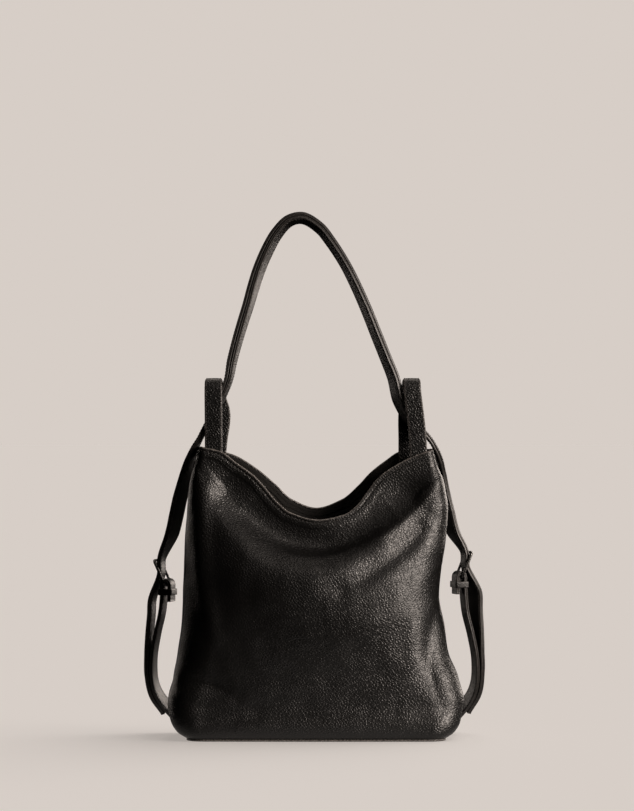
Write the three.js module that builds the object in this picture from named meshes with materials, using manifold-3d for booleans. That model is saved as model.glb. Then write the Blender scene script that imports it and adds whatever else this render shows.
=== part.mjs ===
// Convertible backpack in black leather, real size in millimetres.
// X runs to the right, Y to the back and Z up from the floor; the origin is under the middle of the base.
import * as THREE from 'three';
import Module from 'manifold-3d';
import { mergeVertices } from 'three/addons/utils/BufferGeometryUtils.js';

// Driving dimensions
const bodyHeight = 337; // floor to the hem at the side corners
const bodyHalfWidth = 147; // half of the width at mid height
const baseHalfDepth = 61; // half of the depth near the floor
const mouthDrop = 83; // how far the front hem sags below its corners
const backDrop = 71; // how far the back hem sags
const wall = 2; // leather thickness
const hemWall = 3; // thickness of the turned hem
const hemReach = 10; // height of the turned hem
const basePlate = 2.6; // thickness of the base
const baseInset = 0.7; // base edge behind the outside of the panels
const seamGap = 0.3; // room between pieces that touch

const strapWidth = 20;
const strapThick = 5; // two plies sewn together
const handleThick = 9; // the same strap where it is doubled over the top
const lowerThick = 4;
const strapPlay = 1.2; // room between the strap's edge and a loop's leg
const handleTop = 601; // floor to the middle of the strap at its highest point

const loopWidth = 20;
const loopThick = 2.4;
const loopRise = 77; // top of a loop above the hem corner
const loopFoot = 24; // length of a loop's leg sewn inside the hem

const frameWire = 3; // wire of the buckle frame
const frameLength = 30; // between the middles of its two bars
const framePlay = 0.9; // room beside the strap inside the frame
const pinWire = 2;
const pinSink = 0.2; // depth to which the pin is let into the frame it lies on
const pinSlotLength = 23;
const pinSlotPlace = -0.13; // middle of the slot along the frame, as a share of frameLength
const foldRadius = 4.4; // lower strap round the bar, to its middle
const foldTail = 20; // short end behind the fold
const keeperWidth = 7;
const keeperThick = 1.6;
const tailLength = 112; // free end of the strap below the buckle
const tailSpread = 1.6; // how far the free end stands off at first, in strap thicknesses

// Body sections by height. left and right are shares of bodyHalfWidth; depth runs from the mouth (0) to the
// base (1); round is the corner radius as a share of the depth; crown is how much the sides fall away.
const sections = [
  { height: 0.0, left: 1.004, right: 1.0, depth: 0.93, round: 0.36, crown: 0.03 },
  { height: 0.03, left: 1.07, right: 1.06, depth: 1.03, round: 0.42, crown: 0.04 },
  { height: 0.07, left: 1.12, right: 1.108, depth: 1.08, round: 0.48, crown: 0.05 },
  { height: 0.14, left: 1.15, right: 1.135, depth: 1.09, round: 0.55, crown: 0.07 },
  { height: 0.22, left: 1.105, right: 1.095, depth: 1.05, round: 0.62, crown: 0.09 },
  { height: 0.3, left: 1.075, right: 1.022, depth: 1.0, round: 0.67, crown: 0.1 },
  { height: 0.39, left: 1.045, right: 0.995, depth: 0.94, round: 0.7, crown: 0.1 },
  { height: 0.52, left: 1.027, right: 0.952, depth: 0.79, round: 0.74, crown: 0.1 },
  { height: 0.6, left: 1.015, right: 0.965, depth: 0.64, round: 0.76, crown: 0.09 },
  { height: 0.7, left: 0.999, right: 0.992, depth: 0.4, round: 0.76, crown: 0.06 },
  { height: 0.78, left: 0.985, right: 0.998, depth: 0.22, round: 0.72, crown: 0.03 },
  { height: 0.86, left: 0.968, right: 0.98, depth: 0.09, round: 0.62, crown: 0 },
  { height: 0.93, left: 0.942, right: 0.935, depth: 0.03, round: 0.5, crown: 0 },
  { height: 1.0, left: 0.905, right: 0.893, depth: 0, round: 0.44, crown: 0 },
];

// Hems. across is a share of bodyHalfWidth, drop a share of mouthDrop or backDrop.
const frontHem = [
  { across: -0.92, drop: 0 },
  { across: -0.74, drop: 0.07 },
  { across: -0.616, drop: 0.23 },
  { across: -0.485, drop: 0.4 },
  { across: -0.39, drop: 0.58 },
  { across: -0.311, drop: 0.745 },
  { across: -0.205, drop: 0.9 },
  { across: 0.012, drop: 1 },
  { across: 0.21, drop: 0.934 },
  { across: 0.303, drop: 0.82 },
  { across: 0.384, drop: 0.64 },
  { across: 0.461, drop: 0.46 },
  { across: 0.544, drop: 0.337 },
  { across: 0.744, drop: 0.142 },
  { across: 0.9, drop: 0.045 },
];
const backHem = [
  { across: -0.92, drop: 0 },
  { across: -0.65, drop: 0.14 },
  { across: -0.476, drop: 0.35 },
  { across: -0.313, drop: 0.63 },
  { across: -0.2, drop: 0.85 },
  { across: 0, drop: 1 },
  { across: 0.2, drop: 0.86 },
  { across: 0.33, drop: 0.63 },
  { across: 0.415, drop: 0.44 },
  { across: 0.53, drop: 0.25 },
  { across: 0.655, drop: 0.09 },
  { across: 0.9, drop: 0.045 },
];

// Folds. Each follows a bent line from (x1, z1) past (xm, zm) to (x2, z2), x as shares of bodyHalfWidth and
// z of bodyHeight. lift is outward, a share of baseHalfDepth; above and below are its half widths as
// shares of bodyHeight, on the line's left and right when walking from the first end to the last.
const frontFolds = [
  { name: 'swag roll', x1: -0.8, z1: 0.9, xm: -0.15, zm: 0.42, x2: 0.93, z2: 0.8, lift: 0.1, above: 0.05, below: 0.16 },
  { name: 'swag hollow', x1: -0.6, z1: 0.84, xm: 0.02, zm: 0.56, x2: 0.72, z2: 0.82, lift: -0.13, above: 0.06, below: 0.06 },
  { name: 'shoulder crest', x1: 0.97, z1: 0.88, xm: 0.84, zm: 0.74, x2: 0.4, z2: 0.64, lift: 0.1, above: 0.022, below: 0.05 },
  { name: 'crest hollow', x1: 0.84, z1: 0.73, xm: 0.62, zm: 0.58, x2: 0.2, z2: 0.5, lift: -0.06, above: 0.03, below: 0.05 },
  { name: 'side ridge', x1: -0.86, z1: 0.84, xm: -0.95, zm: 0.6, x2: -0.78, z2: 0.36, lift: 0.05, above: 0.03, below: 0.03 },
  { name: 'elbow crease', x1: 0.97, z1: 0.48, xm: 0.78, zm: 0.3, x2: 0.98, z2: 0.13, lift: -0.13, above: 0.035, below: 0.04 },
  { name: 'elbow bulge', x1: 0.72, z1: 0.36, xm: 0.8, zm: 0.2, x2: 0.7, z2: 0.08, lift: 0.05, above: 0.06, below: 0.05 },
  { name: 'corner crease', x1: -1.1, z1: 0.19, xm: -0.9, zm: 0.24, x2: -0.62, z2: 0.17, lift: -0.06, above: 0.03, below: 0.03 },
];
const backFolds = [
  { name: 'back swag roll', x1: -0.85, z1: 0.88, xm: 0, zm: 0.4, x2: 0.85, z2: 0.88, lift: 0.07, above: 0.05, below: 0.16 },
  { name: 'back hollow', x1: -0.5, z1: 0.84, xm: 0, zm: 0.58, x2: 0.5, z2: 0.84, lift: -0.08, above: 0.07, below: 0.06 },
  { name: 'right crease', x1: 0.95, z1: 0.5, xm: 0.8, zm: 0.36, x2: 0.5, z2: 0.3, lift: -0.05, above: 0.04, below: 0.04 },
  { name: 'left crease', x1: -0.95, z1: 0.42, xm: -0.8, zm: 0.3, x2: -0.5, z2: 0.27, lift: -0.05, above: 0.04, below: 0.04 },
];
const foldQuiet = { from: 0.88, to: 0.97 }; // shares of bodyHeight over which folds die out at the loops

// The strap over the top, from the left loop to the right one. across is a share of bodyHalfWidth, rise runs
// from the hem corner (0) to handleTop (1), turn is the strap's turn in degrees from edge-on, and double
// runs from strapThick (0) to handleThick (1).
const archRows = [
  { across: -0.785, rise: 0.17, turn: 8, double: 0.3 },
  { across: -0.677, rise: 0.29, turn: 6, double: 0.7 },
  { across: -0.635, rise: 0.4, turn: 8, double: 1 },
  { across: -0.57, rise: 0.51, turn: 12, double: 1 },
  { across: -0.515, rise: 0.62, turn: 18, double: 1 },
  { across: -0.44, rise: 0.74, turn: 22, double: 1 },
  { across: -0.34, rise: 0.86, turn: 25, double: 0.95 },
  { across: -0.225, rise: 0.962, turn: 27, double: 0.85 },
  { across: -0.11, rise: 1, turn: 29, double: 0.75 },
  { across: 0.01, rise: 0.958, turn: 30, double: 0.65 },
  { across: 0.13, rise: 0.85, turn: 30, double: 0.55 },
  { across: 0.23, rise: 0.735, turn: 30, double: 0.45 },
  { across: 0.31, rise: 0.62, turn: 32, double: 0.4 },
  { across: 0.39, rise: 0.51, turn: 33, double: 0.4 },
  { across: 0.475, rise: 0.4, turn: 34, double: 0.4 },
  { across: 0.56, rise: 0.3, turn: 36, double: 0.35 },
  { across: 0.64, rise: 0.205, turn: 32, double: 0.25 },
];
// The strap from a loop down to its buckle: across of bodyHalfWidth, height of bodyHeight, back of
// baseHalfDepth.
const leftRun = [
  { across: -0.848, height: 1.072, back: 0, turn: 8 },
  { across: -0.902, height: 1.028, back: 0.03, turn: 5 },
  { across: -0.952, height: 0.988, back: 0.08, turn: 14 },
  { across: -0.986, height: 0.947, back: 0.16, turn: 28 },
  { across: -1.012, height: 0.905, back: 0.22, turn: 38 },
  { across: -1.062, height: 0.825, back: 0.3, turn: 45 },
  { across: -1.092, height: 0.765, back: 0.33, turn: 45 },
  { across: -1.126, height: 0.703, back: 0.35, turn: 42 },
];
const rightRun = [
  { across: 0.735, height: 1.078, back: 0, turn: 22 },
  { across: 0.835, height: 1.045, back: 0.02, turn: 6 },
  { across: 0.912, height: 1.003, back: 0.08, turn: 0 },
  { across: 0.955, height: 0.956, back: 0.18, turn: 10 },
  { across: 0.968, height: 0.908, back: 0.28, turn: 26 },
  { across: 0.99, height: 0.845, back: 0.34, turn: 35 },
  { across: 1.025, height: 0.775, back: 0.36, turn: 40 },
  { across: 1.062, height: 0.712, back: 0.37, turn: 40 },
];
// The lower strap from the buckle down to the base corner, shares as above.
const lowerRun = [
  { across: 1.176, height: 0.48, back: 0.385, turn: 15 },
  { across: 1.192, height: 0.437, back: 0.4, turn: 15 },
  { across: 1.234, height: 0.358, back: 0.43, turn: 15 },
  { across: 1.265, height: 0.278, back: 0.47, turn: 15 },
  { across: 1.264, height: 0.2, back: 0.54, turn: 17 },
  { across: 1.236, height: 0.156, back: 0.61, turn: 22 },
  { across: 1.19, height: 0.122, back: 0.7, turn: 28 },
];
const lowerEnd = { height: 0.072, cornerTurn: 36 }; // end against the back corner, at an angle round it

const tailShares = [0.2, 0.4, 0.6, 0.8, 1]; // places along the free end
// The buckle's pin: along is from the frame's middle in frame lengths, out in steps of the two wires.
const pinRows = [
  { along: -0.5, out: 0.1 },
  { along: -0.32, out: 0.8 },
  { along: 0.1, out: 1.06 },
  { along: 0.5, out: 1 },
  { along: 0.58, out: 0.7 },
];

const sides = [
  { name: 'left', sign: -1, run: leftRun, buckleOut: 1.202, buckleUp: 0.572, tilt: 25, spread: 1, loopFront: -0.795, loopTop: -0.798, loopBack: 0.004, loopLean: 0.06, loopBase: 0.014 },
  { name: 'right', sign: 1, run: rightRun, buckleOut: 1.152, buckleUp: 0.598, tilt: 22, spread: 0.985, loopFront: 0.795, loopTop: 0.741, loopBack: -0.01, loopLean: -0.036, loopBase: -0.09 },
];

// Grid sizes
const columns = 32;
const rows = 20;
const foldSteps = 20;
const sweepStep = 9; // millimetres between the sections of a strap
const sweepCorner = 0.28; // bevel of a strap's edge as a share of its thickness

// What follows from the driving dimensions
const hemHalfDepth = strapWidth / 2 + strapPlay + loopThick + seamGap + hemWall;
const footHeight = basePlate + seamGap;
const degree = Math.PI / 180;

const wasm = await Module();
wasm.setup();

// Smooth reading of one column of a table at a place along its key column: cubic, without overshoot
function readTable(table, key, column, at) {
  const last = table.length - 1;
  const place = Math.min(Math.max(at, table[0][key]), table[last][key]);
  let row = 0;
  while (row < last - 1 && place > table[row + 1][key]) row += 1;
  const slope = (i) => (table[i + 1][column] - table[i][column]) / (table[i + 1][key] - table[i][key]);
  const tangent = (i) => {
    if (i === 0) return slope(0);
    if (i === last) return slope(last - 1);
    const product = slope(i - 1) * slope(i);
    return product <= 0 ? 0 : (2 * product) / (slope(i - 1) + slope(i));
  };
  const span = table[row + 1][key] - table[row][key];
  const t = (place - table[row][key]) / span;
  const blend = t * t * (3 - 2 * t);
  const bend = t * (1 - t) * span * ((1 - t) * tangent(row) - t * tangent(row + 1));
  return table[row][column] * (1 - blend) + table[row + 1][column] * blend + bend;
}

function smoothStep(from, to, value) {
  const t = Math.min(Math.max((value - from) / (to - from), 0), 1);
  return t * t * (3 - 2 * t);
}

// Half width, half depth, corner radius and crown of the body at a height
function sectionAt(sign, z) {
  const share = (z - footHeight) / (bodyHeight - footHeight);
  const read = (column) => readTable(sections, 'height', column, share);
  const depth = hemHalfDepth + (baseHalfDepth - hemHalfDepth) * read('depth');
  return {
    width: bodyHalfWidth * read(sign < 0 ? 'left' : 'right'),
    depth,
    radius: depth * read('round'),
    crown: read('crown'),
  };
}

// A point and its outward direction on a quarter of a section, from the side seam (0) to the middle (1)
function quarterPoint(along, { width, depth, radius, crown }) {
  const side = depth - radius;
  const arc = (Math.PI * radius) / 2;
  const run = along * (side + arc + width - radius);
  let point = { x: width - radius - (run - side - arc), y: depth, nx: 0, ny: 1 };
  if (run < side) point = { x: width, y: run, nx: 1, ny: 0 };
  else if (run < side + arc) {
    const angle = (run - side) / radius;
    const nx = Math.cos(angle);
    const ny = Math.sin(angle);
    point = { x: width - radius + radius * nx, y: side + radius * ny, nx, ny };
  }
  point.y *= 1 - crown * (point.x / width) ** 2;
  return point;
}

// How far the folds of a table push the surface out at a place
function foldLift(folds, x, z) {
  const lifts = folds.map((fold) => {
    let best = { distance: Infinity };
    for (let i = 0; i <= foldSteps; i += 1) {
      const t = i / foldSteps;
      const mix = (a, b, c) => a * (1 - t) ** 2 + 2 * b * t * (1 - t) + c * t * t;
      const dx = x - bodyHalfWidth * mix(fold.x1, fold.xm, fold.x2);
      const dz = z - bodyHeight * mix(fold.z1, fold.zm, fold.z2);
      const distance = Math.hypot(dx, dz);
      if (distance < best.distance) best = { distance, t, dx, dz };
    }
    const tx = bodyHalfWidth * ((fold.xm - fold.x1) * (1 - best.t) + (fold.x2 - fold.xm) * best.t);
    const tz = bodyHeight * ((fold.zm - fold.z1) * (1 - best.t) + (fold.z2 - fold.zm) * best.t);
    const width = bodyHeight * (tx * best.dz - tz * best.dx > 0 ? fold.above : fold.below);
    const ends = Math.sin(Math.PI * Math.min(Math.max(best.t, 0.06), 0.94)) ** 0.6;
    return fold.lift * baseHalfDepth * ends * Math.exp(-((best.distance / width) ** 2));
  });
  const quiet = 1 - smoothStep(foldQuiet.from * bodyHeight, foldQuiet.to * bodyHeight, z);
  return quiet * lifts.reduce((sum, lift) => sum + lift, 0);
}

// Outer surface of a panel at u from the left seam (-1) to the right one (1) and v from foot to hem
function panelPoint(face, hem, drop, folds, u, v) {
  const sign = u < 0 ? -1 : 1;
  const along = (1 - Math.abs(u)) ** 1.3;
  const hemHeight = (x) => bodyHeight - drop * readTable(hem, 'across', 'drop', x / bodyHalfWidth);
  let top = bodyHeight;
  for (let i = 0; i < 12; i += 1) top = hemHeight(sign * quarterPoint(along, sectionAt(sign, top)).x);
  const z = footHeight + (top - footHeight) * v;
  const point = quarterPoint(along, sectionAt(sign, z));
  const lift = foldLift(folds, sign * point.x, z) * smoothStep(0, 0.1, v);
  const x = sign * (point.x + point.nx * lift);
  const y = face * (point.y + point.ny * lift + seamGap / 2);
  return { position: new THREE.Vector3(x, y, z), top };
}

// A closed shell from a grid of outer points, its inner face a wall thickness behind
function shellGeometry(outer, thickness) {
  const wide = outer.length;
  const high = outer[0].length;
  const pick = (i, j) => outer[Math.min(Math.max(i, 0), wide - 1)][Math.min(Math.max(j, 0), high - 1)];
  const inner = outer.map((line, i) => line.map((point, j) => {
    const across = new THREE.Vector3().subVectors(pick(i + 1, j), pick(i - 1, j));
    const up = new THREE.Vector3().subVectors(pick(i, j + 1), pick(i, j - 1));
    const normal = across.cross(up).normalize();
    const result = point.clone().addScaledVector(normal, -thickness(point, i, j));
    if (i === 0 || i === wide - 1) result.y = point.y;
    if (j === 0) result.z = point.z;
    return result;
  }));
  const vertices = [];
  [outer, inner].forEach((grid) => grid.forEach((line) => line.forEach((p) => vertices.push(p.x, p.y, p.z))));
  const at = (layer, i, j) => layer * wide * high + i * high + j;
  const index = [];
  const quad = (a, b, c, d) => index.push(a, b, c, a, c, d);
  for (let i = 0; i < wide - 1; i += 1) {
    for (let j = 0; j < high - 1; j += 1) {
      quad(at(0, i, j), at(0, i + 1, j), at(0, i + 1, j + 1), at(0, i, j + 1));
      quad(at(1, i, j), at(1, i, j + 1), at(1, i + 1, j + 1), at(1, i + 1, j));
    }
    quad(at(0, i, 0), at(1, i, 0), at(1, i + 1, 0), at(0, i + 1, 0));
    quad(at(0, i, high - 1), at(0, i + 1, high - 1), at(1, i + 1, high - 1), at(1, i, high - 1));
  }
  for (let j = 0; j < high - 1; j += 1) {
    quad(at(0, 0, j), at(0, 0, j + 1), at(1, 0, j + 1), at(1, 0, j));
    quad(at(0, wide - 1, j), at(1, wide - 1, j), at(1, wide - 1, j + 1), at(0, wide - 1, j + 1));
  }
  return indexedGeometry(vertices, index);
}

function indexedGeometry(vertices, index) {
  const geometry = new THREE.BufferGeometry();
  geometry.setAttribute('position', new THREE.Float32BufferAttribute(vertices, 3));
  geometry.setIndex(index);
  geometry.computeVertexNormals();
  return geometry;
}

// face is -1 for the front and 1 for the back; the back's columns run the other way, so both face outward
function panel(face, hem, drop, folds) {
  const tops = [];
  const outer = Array.from({ length: columns + 1 }, (_, i) => {
    const u = -face * ((2 * i) / columns - 1);
    const line = Array.from({ length: rows + 1 }, (__, j) => panelPoint(face, hem, drop, folds, u, j / rows));
    tops.push(line[0].top);
    return line.map((entry) => entry.position);
  });
  const thickness = (point, i) => (
    wall + (hemWall - wall) * smoothStep(tops[i] - hemReach * 1.6, tops[i] - hemReach, point.z)
  );
  return shellGeometry(outer, thickness);
}

function basePanel() {
  const outline = [];
  [[1, -1], [-1, -1], [-1, 1], [1, 1]].forEach(([sx, sy], quarter) => {
    const section = sectionAt(sx, footHeight);
    for (let i = 0; i < 12; i += 1) {
      const along = quarter % 2 === 0 ? i / 12 : 1 - i / 12;
      const { x, y, nx, ny } = quarterPoint(along, section);
      outline.push(new THREE.Vector2(sx * (x - nx * baseInset), sy * (y - ny * baseInset + seamGap / 2)));
    }
  });
  const shape = new THREE.Shape(outline);
  return new THREE.ExtrudeGeometry(shape, { depth: basePlate, bevelEnabled: false, steps: 1 });
}

// A flat strip of a width and thickness carried along points that each say where its width points,
// closed by end caps
function stripGeometry(points, width, thick, step = sweepStep, fullThick = thick) {
  const curve = new THREE.CatmullRomCurve3(points.map((p) => p.position), false, 'centripetal');
  curve.arcLengthDivisions = points.length * 24;
  const count = Math.max(Math.round(curve.getLength() / step), 6);
  const profileFor = (b) => {
    const a = width / 2;
    const bevel = thick * sweepCorner;
    return [
      [a, -b + bevel], [a, b - bevel], [a - bevel, b], [-a + bevel, b],
      [-a, b - bevel], [-a, -b + bevel], [-a + bevel, -b], [a - bevel, -b],
    ];
  };
  const vertices = [];
  for (let i = 0; i <= count; i += 1) {
    const t = curve.getUtoTmapping(i / count);
    const place = t * (points.length - 1);
    const row = Math.min(Math.floor(place), points.length - 2);
    const tangent = curve.getTangent(t);
    const across = points[row].across.clone().lerp(points[row + 1].across, place - row);
    across.addScaledVector(tangent, -across.dot(tangent)).normalize();
    const face = new THREE.Vector3().crossVectors(across, tangent);
    const centre = curve.getPoint(t);
    const double = THREE.MathUtils.lerp(points[row].double || 0, points[row + 1].double || 0, place - row);
    profileFor(THREE.MathUtils.lerp(thick, fullThick, double) / 2).forEach(([p, q]) => {
      const corner = centre.clone().addScaledVector(across, p).addScaledVector(face, q);
      vertices.push(corner.x, corner.y, corner.z);
    });
  }
  return sweptGeometry(vertices, 8, count, false);
}

// Triangles of a section carried along a path, with flat ends or joined into a ring
function sweptGeometry(vertices, around, count, ring) {
  const index = [];
  const total = count + 1;
  for (let i = 0; i < (ring ? total : count); i += 1) {
    const next = (i + 1) % total;
    for (let k = 0; k < around; k += 1) {
      const m = (k + 1) % around;
      const [p, q, r, s] = [i * around + k, i * around + m, next * around + m, next * around + k];
      index.push(p, q, r, p, r, s);
    }
  }
  if (!ring) {
    for (let k = 1; k < around - 1; k += 1) {
      index.push(0, k + 1, k);
      index.push(count * around, count * around + k, count * around + k + 1);
    }
  }
  return indexedGeometry(vertices, index);
}

// The direction of a side strap's width, turned so that its inner face looks forward
function sideAcross(sign, turn) {
  return new THREE.Vector3(-sign * Math.sin(turn * degree), Math.cos(turn * degree), 0);
}

// Where a side's buckle sits: its middle, its own directions and the middle of its low bar
function bucklePlace(side) {
  const across = sideAcross(side.sign, lowerRun[0].turn);
  const out = new THREE.Vector3(side.sign * across.y, Math.abs(across.x), 0);
  const lean = side.tilt * degree;
  const up = new THREE.Vector3(0, 0, Math.cos(lean)).addScaledVector(out, Math.sin(lean));
  const centre = new THREE.Vector3(
    side.sign * side.buckleOut * bodyHalfWidth,
    lowerRun[0].back * baseHalfDepth,
    side.buckleUp * bodyHeight,
  );
  const face = new THREE.Vector3().crossVectors(across, up).multiplyScalar(side.sign);
  return { centre, across, out, up, face, lowBar: centre.clone().addScaledVector(up, -frameLength / 2) };
}

function runPoint(row, sign) {
  return {
    position: new THREE.Vector3(
      sign * row.across * bodyHalfWidth,
      row.back * baseHalfDepth,
      row.height * bodyHeight,
    ),
    across: sideAcross(sign, row.turn),
  };
}

// The lower strap: over the bar, down to the base corner and against the body there
function lowerPath(side) {
  const { lowBar, out, across } = bucklePlace(side);
  const vertical = new THREE.Vector3(0, 0, 1);
  const around = (angle) => lowBar.clone()
    .addScaledVector(out, -Math.cos(angle) * foldRadius)
    .addScaledVector(vertical, Math.sin(angle) * foldRadius);
  const points = [];
  [foldTail, foldTail * 0.5].forEach((drop) => {
    points.push({ position: around(0).addScaledVector(vertical, -drop), across });
  });
  for (let i = 0; i <= 6; i += 1) points.push({ position: around((Math.PI * i) / 6), across });
  const start = around(Math.PI);
  points.push({ position: start.clone().addScaledVector(vertical, -foldTail * 0.5), across });
  const rowsBelow = lowerRun.slice(1);
  rowsBelow.forEach((row, i) => {
    const point = runPoint({ ...row, across: row.across * side.spread }, side.sign);
    const ease = Math.max(0, 1 - (i + 1) / rowsBelow.length);
    point.position.x += ease * (start.x - side.sign * lowerRun[0].across * side.spread * bodyHalfWidth);
    points.push(point);
  });
  const z = lowerEnd.height * bodyHeight;
  const section = sectionAt(side.sign, z);
  const angle = lowerEnd.cornerTurn * degree;
  const reach = section.radius + lowerThick / 2 + seamGap;
  const corner = new THREE.Vector3(
    side.sign * (section.width - section.radius + reach * Math.cos(angle)),
    section.depth - section.radius + reach * Math.sin(angle) + seamGap / 2,
    z,
  );
  points.push({ position: corner, across: sideAcross(side.sign, lowerEnd.cornerTurn) });
  return points;
}

// The free end of the strap: it lies outside the lower strap, close to it at its tip
function tailPath(side) {
  const lower = lowerPath(side).slice(8);
  const curve = new THREE.CatmullRomCurve3(lower.map((p) => p.position), false, 'centripetal');
  const reach = tailLength / curve.getLength();
  const close = (lowerThick + strapThick) / 2 + seamGap;
  const wide = close + strapThick * tailSpread;
  const across = sideAcross(side.sign, lowerRun[0].turn);
  return tailShares.map((share) => {
    const tangent = curve.getTangentAt(share * reach);
    const face = new THREE.Vector3().crossVectors(across, tangent).normalize();
    if (face.x * side.sign < 0) face.negate();
    const offset = close + (wide - close) * (1 - smoothStep(0.15, 0.9, share)) + seamGap;
    return { position: curve.getPointAt(share * reach).addScaledVector(face, offset), across };
  });
}

// Where the strap passes the buckle: inside the top bar and outside the low one
function buckleWeave(side) {
  const { centre, up, face, across } = bucklePlace(side);
  const clear = strapThick / 2 + frameWire / 2 + seamGap;
  const above = centre.clone().addScaledVector(up, frameLength * 0.46).addScaledVector(face, -clear * 1.25);
  const middle = centre.clone().addScaledVector(up, -frameLength * 0.06).addScaledVector(face, clear * 0.55);
  return [{ position: above, across }, { position: middle, across }];
}

function shoulderStrapPath() {
  const [left, right] = sides;
  const back = new THREE.Vector3(0, 1, 0);
  const rise = (share) => bodyHeight + (handleTop - bodyHeight) * share;
  const middle = archRows.map((row) => new THREE.Vector3(row.across * bodyHalfWidth, 0, rise(row.rise)));
  const arch = middle.map((position, i) => {
    const ahead = middle[Math.min(i + 1, middle.length - 1)];
    const out = new THREE.Vector3().subVectors(ahead, middle[Math.max(i - 1, 0)]).cross(back).normalize();
    const turn = archRows[i].turn * degree;
    const across = back.clone().multiplyScalar(Math.cos(turn)).addScaledVector(out, -Math.sin(turn));
    return { position, across, double: archRows[i].double };
  });
  const down = (side) => [
    ...side.run.map((row) => runPoint({ ...row, across: Math.abs(row.across) }, side.sign)),
    ...buckleWeave(side),
    ...tailPath(side),
  ];
  return [...down(left).reverse(), ...arch, ...down(right)];
}

function toSolid(geometry) {
  const plain = facingOut(geometry).clone();
  ['normal', 'uv'].forEach((name) => plain.deleteAttribute(name));
  const merged = mergeVertices(plain, 1e-4);
  return new wasm.Manifold(new wasm.Mesh({
    numProp: 3,
    vertProperties: new Float32Array(merged.attributes.position.array),
    triVerts: new Uint32Array(merged.index.array),
  }));
}

function fromSolid(solid) {
  const { vertProperties, triVerts } = solid.getMesh();
  return indexedGeometry(Array.from(vertProperties), Array.from(triVerts));
}

// A leather loop: a leg inside the front hem, over the top and down inside the back hem
function loopGeometry(side) {
  const reach = hemHalfDepth - hemWall - seamGap - loopThick / 2;
  const top = bodyHeight + loopRise - loopThick / 2;
  const bend = top - reach;
  const frontX = side.loopFront * bodyHalfWidth;
  const topX = side.loopTop * bodyHalfWidth;
  const backX = topX + side.loopBack * bodyHalfWidth;
  const leanX = topX + side.loopLean * bodyHalfWidth;
  const baseX = frontX + side.loopBase * bodyHalfWidth;
  const foot = bodyHeight - loopFoot;
  const points = [];
  const add = (x, y, z) => points.push({ position: new THREE.Vector3(x, y, z), across: new THREE.Vector3(1, 0, 0) });
  add(frontX, -reach, foot);
  add(frontX + (topX - frontX) * 0.35, -reach, foot + (bend - foot) * 0.5);
  for (let i = 0; i <= 8; i += 1) {
    const angle = (Math.PI * i) / 8;
    add(topX + ((backX - topX) * i) / 8, -reach * Math.cos(angle), bend + reach * Math.sin(angle));
  }
  add(leanX, reach, foot + (bend - foot) * 0.7);
  add(leanX + (baseX - leanX) * 0.5, reach, foot + (bend - foot) * 0.35);
  add(baseX, reach, foot);
  return stripGeometry(points, loopWidth, loopThick, sweepStep * 0.7);
}

// The buckle: a round-cornered wire frame and a pin from its low bar over its top bar
function buckleGeometry(side) {
  const { centre, across, up, face } = bucklePlace(side);
  const half = strapWidth / 2 + framePlay + frameWire / 2;
  const tall = frameLength / 2;
  const round = frameWire;
  const vertices = [];
  const steps = 24;
  const around = 8;
  for (let i = 0; i < steps; i += 1) {
    const quarter = Math.floor(i / 6);
    const angle = ((i % 6) / 5) * (Math.PI / 2) + (quarter * Math.PI) / 2;
    const sx = quarter === 0 || quarter === 3 ? 1 : -1;
    const sy = quarter < 2 ? 1 : -1;
    const middle = centre.clone()
      .addScaledVector(across, sx * (half - round) + round * Math.cos(angle))
      .addScaledVector(up, sy * (tall - round) + round * Math.sin(angle));
    const outward = across.clone().multiplyScalar(Math.cos(angle)).addScaledVector(up, Math.sin(angle));
    for (let k = 0; k < around; k += 1) {
      const spin = (2 * Math.PI * k) / around;
      const point = middle.clone()
        .addScaledVector(outward, (frameWire / 2) * Math.cos(spin))
        .addScaledVector(face, (-frameWire / 2) * Math.sin(spin));
      vertices.push(point.x, point.y, point.z);
    }
  }
  const frame = toSolid(sweptGeometry(vertices, around, steps - 1, true));
  return fromSolid(frame.add(toSolid(pinGeometry(side))));
}

// The pin rises from the low bar, through the strap, and lies over the top bar
function pinGeometry(side) {
  const { centre, across, up, face } = bucklePlace(side);
  const over = (frameWire + pinWire) / 2 - pinSink;
  const points = pinRows.map((row) => ({
    position: centre.clone().addScaledVector(up, row.along * frameLength).addScaledVector(face, row.out * over),
    across,
  }));
  return stripGeometry(points, pinWire, pinWire, pinWire * 1.5);
}

// A box across the plies at the pin, set square to the buckle, that cuts the slot the pin passes through
function pinSlot(side) {
  const { centre, across, up, face } = bucklePlace(side);
  const slot = new THREE.BoxGeometry(strapThick * 5, pinWire + 2 * framePlay, pinSlotLength);
  slot.applyMatrix4(new THREE.Matrix4().makeBasis(face, across.clone().multiplyScalar(side.sign), up));
  const middle = centre.clone().addScaledVector(up, pinSlotPlace * frameLength);
  slot.translate(middle.x, middle.y, middle.z);
  return toSolid(slot);
}

function shoulderStrapGeometry() {
  let strap = toSolid(stripGeometry(shoulderStrapPath(), strapWidth, strapThick, sweepStep, handleThick));
  sides.forEach((side) => {
    strap = strap.subtract(pinSlot(side));
  });
  return fromSolid(strap);
}

function lowerStrapGeometry(side) {
  const strap = toSolid(stripGeometry(lowerPath(side), strapWidth, lowerThick, sweepStep * 0.5));
  return fromSolid(strap.subtract(pinSlot(side)));
}

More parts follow.
